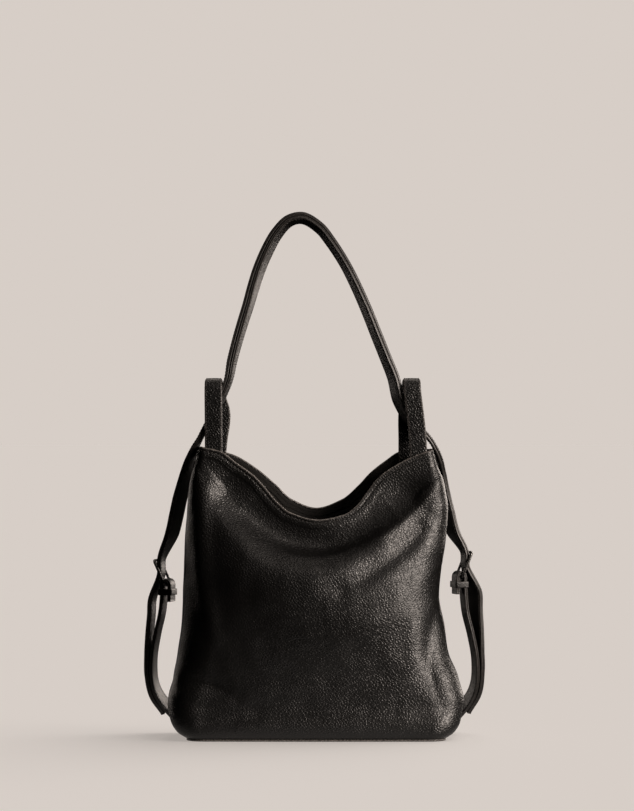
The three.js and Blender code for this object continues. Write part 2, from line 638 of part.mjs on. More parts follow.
// A thin leather ring round the lower strap and its folded end, under the buckle
function keeperGeometry(side) {
  const { lowBar, out, across } = bucklePlace(side);
  const middle = lowBar.clone().add(new THREE.Vector3(0, 0, -foldTail * 0.45));
  const halfOut = foldRadius + lowerThick / 2 + seamGap + keeperThick / 2;
  const halfAcross = strapWidth / 2 + seamGap + keeperThick / 2;
  const corners = [[1, 1], [-1, 1], [-1, -1], [1, -1]];
  const vertices = [];
  corners.forEach(([p, q]) => {
    [[-1, -1], [1, -1], [1, 1], [-1, 1]].forEach(([grow, end]) => {
      const point = middle.clone()
        .addScaledVector(out, p * (halfOut + (grow * keeperThick) / 2))
        .addScaledVector(across, q * (halfAcross + (grow * keeperThick) / 2))
        .add(new THREE.Vector3(0, 0, (end * keeperWidth) / 2));
      vertices.push(point.x, point.y, point.z);
    });
  });
  return sweptGeometry(vertices, 4, 3, true);
}

// A signed volume tells whether the triangles face outward
function facingOut(geometry) {
  const { array } = geometry.attributes.position;
  const index = geometry.index.array;
  const corner = (i) => new THREE.Vector3().fromArray(array, index[i] * 3);
  let volume = 0;
  for (let i = 0; i < index.length; i += 3) {
    volume += corner(i).dot(corner(i + 1).cross(corner(i + 2)));
  }
  if (volume > 0) return geometry;
  return indexedGeometry(Array.from(array), Array.from(index).reverse());
}

const leather = { color: 0x15120f, roughness: 0.48, metalness: 0 };
const bridle = { color: 0x191512, roughness: 0.5, metalness: 0 };
const gunmetal = { color: 0x3a3836, roughness: 0.28, metalness: 1 };

function piece(name, geometry, finish) {
  const shape = geometry.index ? facingOut(geometry) : geometry;
  const mesh = new THREE.Mesh(shape, new THREE.MeshStandardMaterial(finish));
  mesh.name = name;
  return mesh;
}

const backpack = new THREE.Group();
backpack.add(piece('front_panel', panel(-1, frontHem, mouthDrop, frontFolds), leather));
backpack.add(piece('back_panel', panel(1, backHem, backDrop, backFolds), leather));
backpack.add(piece('base_panel', basePanel(), leather));
backpack.add(piece('shoulder_strap', shoulderStrapGeometry(), bridle));
sides.forEach((side) => {
  backpack.add(piece(`${side.name}_loop`, loopGeometry(side), bridle));
  backpack.add(piece(`${side.name}_lower_strap`, lowerStrapGeometry(side), bridle));
  backpack.add(piece(`${side.name}_buckle`, buckleGeometry(side), gunmetal));
  backpack.add(piece(`${side.name}_keeper`, keeperGeometry(side), bridle));
});

export default backpack;
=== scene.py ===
import math

import bpy
import numpy as np
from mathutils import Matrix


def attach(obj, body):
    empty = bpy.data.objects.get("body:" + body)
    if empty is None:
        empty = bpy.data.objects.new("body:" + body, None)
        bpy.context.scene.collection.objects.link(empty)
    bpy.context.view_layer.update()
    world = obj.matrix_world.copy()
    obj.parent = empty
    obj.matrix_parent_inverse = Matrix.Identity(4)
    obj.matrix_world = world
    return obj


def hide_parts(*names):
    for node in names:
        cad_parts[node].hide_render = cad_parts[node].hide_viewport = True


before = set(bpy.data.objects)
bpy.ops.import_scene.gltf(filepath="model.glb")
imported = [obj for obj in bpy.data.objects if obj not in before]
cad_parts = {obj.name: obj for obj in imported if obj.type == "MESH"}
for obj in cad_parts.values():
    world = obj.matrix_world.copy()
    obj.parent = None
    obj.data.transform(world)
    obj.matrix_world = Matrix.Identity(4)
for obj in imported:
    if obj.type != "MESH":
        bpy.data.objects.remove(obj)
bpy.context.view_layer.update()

# Lengths are in millimetres until a mesh is made. X is to the right, Y to the back, Z up from the floor.
# A share is a part of a named size, so that a shape follows when the size is changed.


def unit(vectors):
    return vectors / np.maximum(np.linalg.norm(vectors, axis=-1, keepdims=True), 1e-9)


def smoothStep(start, end, value):
    t = np.clip((value - start) / (end - start), 0, 1)
    return t * t * (3 - 2 * t)


# A cubic curve through the rows of a table; each slope is the harmonic mean of its neighbours, so it
# never overshoots. The first column is where to read, the named one is what is read.
def readTable(rows, column, at):
    rows = np.asarray(rows, float)
    key, value = rows[:, 0], rows[:, column]
    slope = np.diff(value) / np.diff(key)
    product = slope[:-1] * slope[1:]
    total = np.where(product > 0, slope[:-1] + slope[1:], 1)
    tangent = np.concatenate([slope[:1], np.where(product > 0, 2 * product / total, 0), slope[-1:]])
    at = np.clip(at, key[0], key[-1])
    row = np.clip(np.searchsorted(key, at) - 1, 0, len(key) - 2)
    span = key[row + 1] - key[row]
    t = (at - key[row]) / span
    blend = t * t * (3 - 2 * t)
    bend = t * (1 - t) * span * ((1 - t) * tangent[row] - t * tangent[row + 1])
    return value[row] * (1 - blend) + value[row + 1] * blend + bend


# Gentle unevenness of hide: a sum of plane waves with directions and phases from a fixed seed
def hideWaves(x, z, size, seed, count=18):
    random = np.random.default_rng(seed)
    angle = random.uniform(0, math.pi, count)
    phase = random.uniform(0, 2 * math.pi, count)
    wave = 2 * math.pi / (size * random.uniform(0.7, 1.7, count))
    total = np.zeros(np.broadcast(x, z).shape)
    for a, p, k in zip(angle, phase, wave):
        total = total + np.sin(k * (x * math.cos(a) + z * math.sin(a)) + p)
    return total / math.sqrt(count / 2)


# Four-sided faces of a grid of points; either direction may close on itself
def gridFaces(across, along, closeAcross=False, closeAlong=False):
    i = np.arange(across if closeAcross else across - 1)[:, None]
    j = np.arange(along if closeAlong else along - 1)[None, :]
    nextI, nextJ = (i + 1) % across, (j + 1) % along
    corners = [i * along + j, nextI * along + j, nextI * along + nextJ, i * along + nextJ]
    return np.stack(corners, axis=-1).reshape(-1, 4)


# Closed meshes get their faces turned outward: the sum of corner triple products is six times the volume
def facingOut(points, quads, caps=()):
    corner = points[quads]
    volume = np.einsum('ij,ij->', corner[:, 0], np.cross(corner[:, 1], corner[:, 2]))
    volume += np.einsum('ij,ij->', corner[:, 0], np.cross(corner[:, 2], corner[:, 3]))
    faces = quads if volume > 0 else quads[:, ::-1]
    return faces.tolist() + [list(cap) if volume > 0 else list(cap)[::-1] for cap in caps]


# Points and faces of a row of rings, which closes on its first ring or ends in two caps
def tubeMesh(grid, closed=True):
    count, around = grid.shape[:2]
    points = grid.reshape(-1, 3)
    last = (count - 1) * around
    caps = [] if closed else [range(around)[::-1], range(last, last + around)]
    return points, facingOut(points, gridFaces(count, around, closed, True), caps)


# bands gives each face its material; the other two are marks for each point, read by the leather: rubbed
# wear with painted highlight lines along rims and edges, and the smooth painted edges
def makePiece(name, points, faces, materials, slotName, replaced=(), bands=None, rubAndHighlight=None, edge=0.0):
    mesh = bpy.data.meshes.new(name)
    mesh.from_pydata((points * 0.001).tolist(), [], faces)
    mesh.polygons.foreach_set('use_smooth', np.ones(len(mesh.polygons), bool))
    for material in materials:
        mesh.materials.append(material)
    if bands is not None:
        mesh.polygons.foreach_set('material_index', np.asarray(bands, np.int32))
    if rubAndHighlight is not None:
        for key, values in (('rubAndHighlight', rubAndHighlight), ('edge', np.broadcast_to(edge, rubAndHighlight.shape))):
            mark = mesh.attributes.new(key, 'FLOAT', 'POINT')
            mark.data.foreach_set('value', np.ravel(values).astype(np.float32))
    mesh.update()
    piece = bpy.data.objects.new(name, mesh)
    bpy.context.collection.objects.link(piece)
    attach(piece, 'root')
    if replaced:
        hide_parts(*replaced)
    return piece


# How far along a line each point lies
def lengthAlong(line):
    return np.concatenate([[0], np.cumsum(np.linalg.norm(np.diff(line, axis=0), axis=1))])


# The points of a line where another quantity along it has the wanted values
def pickAlong(want, known, line):
    return np.stack([np.interp(want, known, line[:, k]) for k in range(3)], axis=1)


# A centripetal Catmull-Rom curve through the points, cut into equal steps of its length. Also gives
# where each step lies between the points, for what is read along with them.
def smoothPath(points, step, fine=40):
    points = np.asarray(points, float)
    full = np.vstack([2 * points[0] - points[1], points, 2 * points[-1] - points[-2]])
    n = len(points) - 1
    p0, p1, p2, p3 = full[:n], full[1:n + 1], full[2:n + 2], full[3:n + 3]
    d0, d1, d2 = [np.sqrt(np.linalg.norm(b - a, axis=1, keepdims=True))
                  for a, b in ((p0, p1), (p1, p2), (p2, p3))]
    t1 = ((p1 - p0) / d0 - (p2 - p0) / (d0 + d1) + (p2 - p1) / d1) * d1
    t2 = ((p2 - p1) / d1 - (p3 - p1) / (d1 + d2) + (p3 - p2) / d2) * d1
    t = (np.arange(fine) / fine)[None, :, None]
    line = ((2 * t**3 - 3 * t**2 + 1) * p1[:, None] + (t**3 - 2 * t**2 + t) * t1[:, None]
            + (3 * t**2 - 2 * t**3) * p2[:, None] + (t**3 - t**2) * t2[:, None]).reshape(-1, 3)
    line = np.vstack([line, points[-1]])
    length = lengthAlong(line)
    want = np.linspace(0, length[-1], max(int(round(length[-1] / step)), 6) + 1)
    return pickAlong(want, length, line), np.interp(want, length, np.arange(n * fine + 1) / fine)


def readAlong(values, place):
    values = np.asarray(values, float)
    row = np.clip(place.astype(int), 0, len(values) - 2)
    t = place - row
    if values.ndim > 1:
        t = t[:, None]
    return values[row] * (1 - t) + values[row + 1] * t


# Vectors with the part that points along the given directions taken out
def squareTo(vectors, directions):
    return unit(vectors - np.sum(vectors * directions, axis=1, keepdims=True) * directions)


# The directions of a strip at each step: across it and out of its face
def pathFrame(centre, across):
    tangent = unit(np.gradient(centre, axis=0))
    across = squareTo(across, tangent)
    return across, np.cross(across, tangent)


# A section (p across, q out of the face) carried along a path
def sweepPoints(centre, across, face, p, q):
    return centre[:, None] + across[:, None] * p[..., None] + face[:, None] * q[..., None]


# Short threads lying on a surface: a bent spindle repeated at equal steps of a line. Each has five
# rings of six points; its ends are thinner and dip into the leather.
def threadPoints(line, normal, size):
    length = lengthAlong(line)
    pitch = size['pitch']
    count = int((length[-1] - pitch) / pitch)
    want = pitch * (0.5 + np.arange(count)) + (length[-1] - pitch * count) / 2
    centre = pickAlong(want, length, line)
    tangent = unit(pickAlong(want + 0.5, length, line) - centre)
    up = squareTo(pickAlong(want, length, normal), tangent)
    side = np.cross(tangent, up)
    share = np.array([-1, -0.72, 0, 0.72, 1])
    radius = size['threadRadius'] * np.array([0.35, 0.9, 1, 0.9, 0.35])
    sink = size['threadRadius'] * (0.45 - 1.1 * share**4)
    turn = np.arange(6) * math.pi / 3
    a = share * size['threadLength'] / 2
    b = radius[:, None] * np.cos(turn)
    c = sink[:, None] + radius[:, None] * np.sin(turn)
    return centre[:, None, None] + (
        tangent[:, None, None] * a[None, :, None, None] + side[:, None, None] * b[None, :, :, None]
        + up[:, None, None] * c[None, :, :, None])


def threadMesh(groups):
    points = np.concatenate([group.reshape(-1, 5, 6, 3) for group in groups])
    starts = np.arange(len(points)) * 30
    quads = (gridFaces(5, 6, False, True)[None] + starts[:, None, None]).reshape(-1, 4)
    ends = [range(6), range(29, 23, -1)]
    corner = points.reshape(-1, 3)
    caps = [[start + k for k in end] for start in starts.tolist() for end in ends]
    return corner, facingOut(corner, quads, caps)


# Each input of a node takes a value, or is linked to another node's output
def fill(tree, node, inputs):
    for key, value in inputs.items():
        if isinstance(value, bpy.types.NodeSocket):
            tree.links.new(value, node.inputs[key])
        else:
            node.inputs[key].default_value = value


def addNode(tree, kind, place, inputs=None, **settings):
    node = tree.nodes.new('ShaderNode' + kind)
    node.location = (place[0] * 200, -place[1] * 200)
    for key, value in settings.items():
        setattr(node, key, value)
    fill(tree, node, inputs or {})
    return node


def mapRange(tree, place, value, low, high, toLow=0.0, toHigh=1.0):
    return addNode(tree, 'MapRange', place, {
        'Value': value, 'From Min': low, 'From Max': high, 'To Min': toLow, 'To Max': toHigh,
    }, interpolation_type='SMOOTHSTEP').outputs['Result']


def mathNode(tree, place, operation, a, b):
    return addNode(tree, 'Math', place, {0: a, 1: b}, operation=operation).outputs['Value']


def vectorNode(tree, place, operation, inputs):
    return addNode(tree, 'VectorMath', place, inputs, operation=operation).outputs['Vector']


def noiseNode(tree, place, vector, scale, detail, output='Fac'):
    node = addNode(tree, 'TexNoise', place, {'Vector': vector, 'Scale': scale, 'Detail': detail})
    return node.outputs[output]


def bumpNode(tree, place, height, strength, distance):
    return addNode(tree, 'Bump', place, {
        'Height': height, 'Strength': strength, 'Distance': distance,
    }).outputs['Normal']


# Two colours, each given or another node's output, mixed by a factor
def mixNode(tree, place, factor, a, b):
    inputs = {'Factor': factor}
    for socket, colour in ((6, a), (7, b)):
        inputs[socket] = colour if isinstance(colour, bpy.types.NodeSocket) else (*colour, 1)
    return addNode(tree, 'Mix', place, inputs, data_type='RGBA').outputs[2]


# A shared effect: its inputs with their defaults (None is a vector) and the labels of its outputs
def newGroup(name, inputs, outputs):
    group = bpy.data.node_groups.new(name, 'ShaderNodeTree')
    for label, value in inputs.items():
        kind = 'NodeSocketVector' if value is None else 'NodeSocketFloat'
        socket = group.interface.new_socket(name=label, in_out='INPUT', socket_type=kind)
        if value is not None:
            socket.default_value = value
    for label in outputs:
        group.interface.new_socket(name=label, in_out='OUTPUT', socket_type='NodeSocketFloat')
    start, end = group.nodes.new('NodeGroupInput'), group.nodes.new('NodeGroupOutput')
    start.location, end.location = (-1200, 0), (1200, 0)
    return group, start.outputs, end


def newMaterial(name):
    material = bpy.data.materials.new(name)
    material.use_nodes = True
    return material, material.node_tree, material.node_tree.nodes['Principled BSDF']


# Tumbled hide: rounded cells parted by narrow valleys and bent by slow noise, with pores and a broad
# swell on top. Puts out the height, the valleys and a patchy tone.
def pebbleGroup():
    look = {
        'driftScale': 95.0, 'random': 0.82, 'valleyWidth': 0.16, 'poreScale': 2600.0, 'poreHeight': 0.04,
        'swellScale': 150.0, 'swellHeight': 0.1, 'patchScale': 14.0,
    }
    group, start, end = newGroup(
        'pebbledHide', {'Vector': None, 'Cells': 340.0, 'Bend': 0.0022, 'Valley': 0.3},
        ('Height', 'Valleys', 'Tone'))
    vector = start['Vector']
    drift = noiseNode(group, (-5, 2), vector, look['driftScale'], 3.0, 'Color')
    centred = vectorNode(group, (-4, 2), 'SUBTRACT', {0: drift, 1: (0.5, 0.5, 0.5)})
    scaled = vectorNode(group, (-3, 2), 'SCALE', {0: centred, 'Scale': start['Bend']})
    cells = addNode(group, 'TexVoronoi', (-1, 1), {
        'Vector': vectorNode(group, (-2, 1), 'ADD', {0: vector, 1: scaled}),
        'Scale': start['Cells'], 'Randomness': look['random'],
    }, feature='DISTANCE_TO_EDGE').outputs['Distance']
    dome = mapRange(group, (1, 1), cells, 0.0, start['Valley'])
    pores = noiseNode(group, (-1, 3), vector, look['poreScale'], 2.0)
    swell = noiseNode(group, (-1, 5), vector, look['swellScale'], 2.0)
    patch = noiseNode(group, (-1, 7), vector, look['patchScale'], 5.0)
    fine = mathNode(group, (2, 3), 'MULTIPLY', pores, look['poreHeight'])
    broad = mathNode(group, (2, 5), 'MULTIPLY', swell, look['swellHeight'])
    height = mathNode(group, (3, 1), 'ADD', dome, fine)
    fill(group, end, {
        'Height': mathNode(group, (4, 1), 'ADD', height, broad),
        'Valleys': mapRange(group, (3, 4), cells, 0.0, look['valleyWidth'], 1.0, 0.0),
        'Tone': mapRange(group, (3, 7), patch, 0.3, 0.7),
    })
    return group


# Rubbed places and painted highlight lines on rims and edges: a mark stored on the mesh, broken up by
# noise
def rubHighlightGroup():
    group, start, end = newGroup('rubbedEdgeHighlight', {'Vector': None, 'Mark': 0.0, 'Amount': 0.6}, ('RubAndHighlight',))
    breakUp = noiseNode(group, (-3, 1), start['Vector'], 420.0, 6.0)
    broken = mapRange(group, (-1, 1), breakUp, 0.35, 0.65, 0.35, 1.0)
    marked = mathNode(group, (1, 0), 'MULTIPLY', broken, start['Mark'])
    fill(group, end, {'RubAndHighlight': mathNode(group, (3, 0), 'MULTIPLY', marked, start['Amount'])})
    return group


pebbledHide = pebbleGroup()
rubbedEdgeHighlight = rubHighlightGroup()


# Leather: hide colour varied in patches and darkened in the valleys as painted shade, lighter where
# rubbed and as painted highlight lines along rims and edges, with the grain as bump, which fades on the
# smooth painted edges. cells is the number of cells along a metre.
def leatherMaterial(name, look):
    material, tree, shader = newMaterial(name)
    place = addNode(tree, 'TexCoord', (-6, 0)).outputs['Object']
    turned = addNode(tree, 'Mapping', (-5, 0), {
        'Vector': place, 'Rotation': look['turn'], 'Scale': look['stretch'],
    }).outputs['Vector']
    hide = addNode(tree, 'Group', (-3, 0), {
        'Vector': turned, 'Cells': look['cells'], 'Bend': look['bend'], 'Valley': look['valley'],
    }, node_tree=pebbledHide).outputs
    mark = addNode(tree, 'Attribute', (-5, 3), attribute_name='rubAndHighlight').outputs['Fac']
    rubAndHighlight = addNode(tree, 'Group', (-3, 3), {
        'Vector': place, 'Mark': mark, 'Amount': look['rubAndHighlight'],
    }, node_tree=rubbedEdgeHighlight).outputs['RubAndHighlight']
    patches = mixNode(tree, (-1, 0), hide['Tone'], look['dark'], look['colour'])
    # The grain valleys are darkened toward the valley colour as painted shade
    shade = mathNode(tree, (0, 1), 'MULTIPLY', hide['Valleys'], look['valleyShadeAmount'])
    valleys = mixNode(tree, (1, 0), shade, patches, look['valleyShade'])
    rough = look['rough']
    matt = mapRange(tree, (1, 2), hide['Tone'], 0.0, 1.0, rough + look['roughVary'], rough)
    valleyMatt = mathNode(tree, (2, 3), 'MULTIPLY', hide['Valleys'], look['valleyRough'])
    edge = addNode(tree, 'Attribute', (-1, 5), attribute_name='edge').outputs['Fac']
    lost = mathNode(tree, (1, 5), 'MULTIPLY', edge, -look['edgeSmooth'])
    kept = mathNode(tree, (2, 5), 'ADD', lost, 1.0)
    height = mathNode(tree, (3, 4), 'MULTIPLY', hide['Height'], kept)
    fill(tree, shader, {
        'Base Color': mixNode(tree, (3, 0), rubAndHighlight, valleys, look['wornHighlight']),
        'Roughness': mathNode(tree, (4, 2), 'ADD', matt, valleyMatt),
        'Normal': bumpNode(tree, (4, 4), height, 1.0, look['depth']),
        'Specular IOR Level': look['specular'], 'Sheen Weight': look['sheen'], 'Sheen Roughness': 0.5,
    })
    return material


# depth is the height of the grain in metres. The valley colour is painted shade in the grain valleys,
# and the worn colour is rubbed wear and painted highlight lines on rims and edges
bodyLook = {
    'cells': 300.0, 'bend': 0.0021, 'valley': 0.36, 'depth': 0.00023, 'edgeSmooth': 0.85,
    'turn': (0.0, 0.5, 0.0), 'stretch': (1.0, 1.0, 1.4),
    'colour': (0.0016, 0.0013, 0.0011), 'dark': (0.001, 0.0008, 0.0007), 'valleyShadeAmount': 0.9,
    'valleyShade': (0.0003, 0.0003, 0.0002), 'wornHighlight': (0.2, 0.18, 0.166), 'rubAndHighlight': 0.7,
    'rough': 0.36, 'roughVary': 0.04, 'valleyRough': 0.05, 'specular': 0.5, 'sheen': 0.0,
}
insideLook = dict(
    bodyLook, cells=1400.0, bend=0.0006, valley=0.5, depth=0.00025, rough=0.82, roughVary=0.08,
    colour=(0.012, 0.0103, 0.009), dark=(0.008, 0.007, 0.006), valleyShade=(0.004, 0.0035, 0.003),
    specular=0.25, sheen=0.1, rubAndHighlight=0.0,
)
bodyLeather = leatherMaterial('bodyLeather', bodyLook)
strapLeather = leatherMaterial('strapLeather', dict(
    bodyLook, cells=380.0, bend=0.002, depth=0.00013, rubAndHighlight=0.14))
loopLeather = leatherMaterial('loopLeather', dict(
    bodyLook, cells=310.0, bend=0.0024, depth=0.00027, rough=0.34, rubAndHighlight=0.28))
insideSuede = leatherMaterial('insideSuede', insideLook)
baseLeather = leatherMaterial('baseLeather', dict(bodyLook, rough=0.5, rubAndHighlight=0.6))


def threadMaterial():
    look = {'colour': (0.02, 0.018, 0.017), 'light': (0.045, 0.04, 0.037), 'rough': 0.48,
            'twist': 1900.0, 'waver': 0.6, 'bump': 0.4, 'depth': 0.00008}
    material, tree, shader = newMaterial('waxedThread')
    ply = addNode(tree, 'TexWave', (-4, 0), {
        'Vector': addNode(tree, 'TexCoord', (-5, 0)).outputs['Object'],
        'Scale': look['twist'], 'Distortion': look['waver'],
    }, wave_type='BANDS', bands_direction='DIAGONAL').outputs['Fac']
    fill(tree, shader, {
        'Base Color': mixNode(tree, (-2, 0), ply, look['colour'], look['light']),
        'Normal': bumpNode(tree, (-2, 2), ply, look['bump'], look['depth']), 'Roughness': look['rough'],
    })
    return material


# Dark polished wire, duller where it is smudged, with fine scratches
def metalMaterial():
    look = {'colour': (0.2, 0.195, 0.19), 'dull': (0.11, 0.106, 0.103), 'rough': 0.2, 'smudge': 0.16,
            'bump': 0.15, 'depth': 0.00005}
    material, tree, shader = newMaterial('darkNickel')
    place = addNode(tree, 'TexCoord', (-6, 0)).outputs['Object']
    mask = mapRange(tree, (-3, 0), noiseNode(tree, (-5, 0), place, 130.0, 6.0), 0.35, 0.7)
    matt = mathNode(tree, (-1, 2), 'MULTIPLY', mask, look['smudge'])
    scratches = noiseNode(tree, (-5, 2), place, 1500.0, 3.0)
    fill(tree, shader, {
        'Base Color': mixNode(tree, (-1, 0), mask, look['colour'], look['dull']),
        'Roughness': mathNode(tree, (0, 2), 'ADD', matt, look['rough']),
        'Normal': bumpNode(tree, (-1, 4), scratches, look['bump'], look['depth']), 'Metallic': 1.0,
    })
    return material


waxedThread = threadMaterial()
darkNickel = metalMaterial()
print('materials made')

body = {
    'height': 332.0, 'halfWidth': 147.0, 'baseHalfDepth': 61.0, 'frontDrop': 83.0, 'backDrop': 71.0,
    'hemHalfDepth': 16.9, 'footHeight': 2.9, 'seamGap': 0.3, 'wall': 2.0, 'hemWall': 3.0,
    # grid; hemBand is the share of the height that hemRows cover
    'columns': 228, 'rows': 166, 'hemRows': 24, 'hemBand': 0.055, 'rimSteps': 7,
    # the turned hem, 10 mm high, by the distance from its edge, outside and inside
    'hemEdge': (9.0, 12.5), 'hemInside': (9.6, 10.6), 'hemSwell': 0.5,
    'stitchDrop': 4.2, 'stitchWidth': 0.9,
    # the side seams, by the distance from them
    'seamDip': 1.2, 'seamWidth': 2.2, 'pucker': 0.22, 'puckerPitch': 4.5, 'puckerReach': 6.0,
    # unevenness of the hide, and the distances over which it sets in
    'waves': 0.16, 'waveSize': 30.0, 'calmSeam': (0, 25), 'calmFoot': (0, 30), 'calmHem': (8, 30),
    # folds set in over foldFoot of a panel and die out between the shares foldTop of the height; along
    # a line they rise as the sine of the place, held foldEnds off its ends, to the power foldFade
    'foldFoot': 0.1, 'foldTop': (0.88, 0.97), 'foldEnds': 0.06, 'foldFade': 0.6, 'foldSteps': 90,
    # distances from the side seams over which the slouch sets in
    'slouchStart': (30, 100),
    # height, left and right half width (of halfWidth), depth (0 mouth, 1 base), corner radius (of
    # depth), crown
    'sections': [
        (0.0, 1.004, 1.0, 0.93, 0.36, 0.03), (0.018, 1.07, 1.06, 1.03, 0.42, 0.05),
        (0.0537, 1.12, 1.108, 1.08, 0.48, 0.09), (0.1248, 1.15, 1.135, 1.09, 0.55, 0.14),
        (0.206, 1.105, 1.095, 1.05, 0.62, 0.2), (0.2872, 1.075, 1.022, 1.0, 0.67, 0.26),
        (0.3786, 1.045, 0.995, 0.94, 0.7, 0.3), (0.5106, 1.027, 0.952, 0.79, 0.74, 0.32),
        (0.5918, 1.015, 0.965, 0.64, 0.76, 0.3), (0.6933, 0.999, 0.992, 0.4, 0.76, 0.2),
        (0.7745, 0.985, 0.998, 0.22, 0.72, 0.08), (0.8557, 0.968, 0.98, 0.09, 0.62, 0),
        (0.9268, 0.942, 0.935, 0.03, 0.5, 0), (1.0, 0.905, 0.893, 0, 0.44, 0),
    ],
}
bagHeight, halfWidth, halfDepth, footHeight, hemWall, seamGap = [body[key] for key in (
    'height', 'halfWidth', 'baseHalfDepth', 'footHeight', 'hemWall', 'seamGap')]

# Hems: place across (of halfWidth), drop (of frontDrop or backDrop)
frontHem = [
    (-0.92, 0), (-0.74, 0.07), (-0.616, 0.23), (-0.485, 0.4), (-0.39, 0.58), (-0.311, 0.745),
    (-0.205, 0.9), (0.012, 1), (0.21, 0.934), (0.303, 0.82), (0.384, 0.64), (0.461, 0.46),
    (0.544, 0.337), (0.744, 0.142), (0.9, 0.045),
]
backHem = [
    (-0.92, 0), (-0.65, 0.14), (-0.476, 0.35), (-0.313, 0.63), (-0.2, 0.85), (0, 1), (0.2, 0.86),
    (0.33, 0.63), (0.415, 0.44), (0.53, 0.25), (0.655, 0.09), (0.9, 0.045),
]

# Folds along a bent line from one end past the middle to the other end: x of halfWidth, z of height,
# lift outward of baseHalfDepth, half widths above and below of height, and how sharp the ridge is (2 is
# round)
frontFolds = {
    'swagRoll': (-0.86, 0.85, -0.48, 0.32, 0.93, 0.795, 0.14, 0.065, 0.15, 2),
    'swagHollow': (-0.66, 0.83, -0.02, 0.505, 0.7, 0.8, -0.24, 0.078, 0.045, 2),
    'shoulderCrest': (0.97, 0.905, 0.8, 0.75, 0.28, 0.65, 0.09, 0.022, 0.045, 1.6),
    'crestHollow': (0.88, 0.755, 0.64, 0.61, 0.2, 0.52, -0.085, 0.03, 0.05, 2),
    'bellyRound': (0.02, 0.35, 0.36, 0.35, 0.78, 0.52, 0.06, 0.1, 0.045, 2),
    'sideRidge': (-0.86, 0.835, -0.95, 0.592, -0.78, 0.348, 0.05, 0.03, 0.03, 2),
    'elbowCrease': (0.97, 0.47, 0.78, 0.287, 0.98, 0.115, -0.085, 0.035, 0.04, 1.7),
    'cornerCrease': (-1.1, 0.176, -0.9, 0.226, -0.62, 0.155, -0.06, 0.03, 0.03, 1.7),
}
backFolds = {
    'backRoll': (-0.85, 0.876, 0, 0.389, 0.85, 0.876, 0.07, 0.05, 0.16, 2),
    'backHollow': (-0.5, 0.835, 0, 0.572, 0.5, 0.835, -0.08, 0.07, 0.06, 2),
    'rightCrease': (0.95, 0.49, 0.8, 0.348, 0.5, 0.287, -0.05, 0.04, 0.04, 1.8),
    'leftCrease': (-0.95, 0.409, -0.8, 0.287, -0.5, 0.257, -0.05, 0.04, 0.04, 1.8),
}
# How far each face hangs outside or inside the sections: height, lift (of baseHalfDepth)
frontSlouch = [
    (0, 0), (0.06, -0.04), (0.125, -0.105), (0.2, -0.085), (0.29, -0.01), (0.38, 0.045),
    (0.51, 0.1), (0.59, 0.125), (0.69, 0.12), (0.78, 0.04), (0.86, -0.02), (0.93, 0), (1, 0),
]
backSlouch = [(0, 0), (0.125, -0.03), (0.38, 0.03), (0.59, 0.05), (0.78, 0.01), (1, 0)]
panels = {
    'front': {'face': -1, 'hem': frontHem, 'drop': body['frontDrop'], 'folds': frontFolds,
              'slouch': frontSlouch, 'seed': 3},
    'back': {'face': 1, 'hem': backHem, 'drop': body['backDrop'], 'folds': backFolds,
             'slouch': backSlouch, 'seed': 8},
}



# Half width, half depth, corner radius and crown of the body at a height
def sectionAt(right, z):
    share = (z - footHeight) / (bagHeight - footHeight)
    left, rightSide, depthShare, radius, crown = [
        readTable(body['sections'], column, share) for column in range(1, 6)]
    depth = body['hemHalfDepth'] + (halfDepth - body['hemHalfDepth']) * depthShare
    return halfWidth * np.where(right, rightSide, left), depth, depth * radius, crown


# A quarter of a section by its length from the side seam (0) to the middle (1): straight side, round
# corner, straight front; the front falls away from the middle by the crown times (x / width) squared.
# Gives the point, its outward direction and its length from the seam.
def quarterPoint(along, width, depth, radius, crown):
    side = depth - radius
    arc = math.pi / 2 * radius
    run = along * (side + arc + width - radius)
    angle = np.clip((run - side) / radius, 0, math.pi / 2)
    x = width - radius + radius * np.cos(angle) - np.maximum(run - side - arc, 0)
    y = np.minimum(run, side) + radius * np.sin(angle)
    return x, y * (1 - crown * (x / width) ** 2), np.cos(angle), np.sin(angle), run


# How far the folds push the surface out: lift times exp(-(distance / width) ** sharp) from the nearest
# point of each fold's line, dying out towards the ends of the line and under the loops
def foldLift(folds, x, z):
    shape = x.shape
    x, z = x.ravel(), z.ravel()
    total = np.zeros(len(x))
    t = np.linspace(0, 1, body['foldSteps'])
    margin = body['foldEnds']
    for x1, z1, xm, zm, x2, z2, lift, above, below, sharp in folds.values():
        lineX = halfWidth * (x1 * (1 - t) ** 2 + 2 * xm * t * (1 - t) + x2 * t * t)
        lineZ = bagHeight * (z1 * (1 - t) ** 2 + 2 * zm * t * (1 - t) + z2 * t * t)
        dx, dz = x[:, None] - lineX, z[:, None] - lineZ
        best = np.argmin(dx * dx + dz * dz, axis=1)
        rowDx, rowDz = dx[np.arange(len(x)), best], dz[np.arange(len(x)), best]
        tangentX, tangentZ = np.gradient(lineX)[best], np.gradient(lineZ)[best]
        size = np.hypot(tangentX, tangentZ)
        offset = (tangentX * rowDz - tangentZ * rowDx) / size
        slide = np.clip((rowDx * tangentX + rowDz * tangentZ) / size, -size, size)
        beyond = np.abs(rowDx * tangentX + rowDz * tangentZ) / size - np.abs(slide)
        width = bagHeight * np.where(offset > 0, above, below)
        distance = np.hypot(offset, beyond)
        place = np.clip(t[best] + slide / size * (t[1] - t[0]), margin, 1 - margin)
        ends = np.sin(math.pi * place) ** body['foldFade']
        total += lift * halfDepth * ends * np.exp(-((distance / width) ** sharp))
    low, high = body['foldTop']
    return ((1 - smoothStep(low * bagHeight, high * bagHeight, z)) * total).reshape(shape)


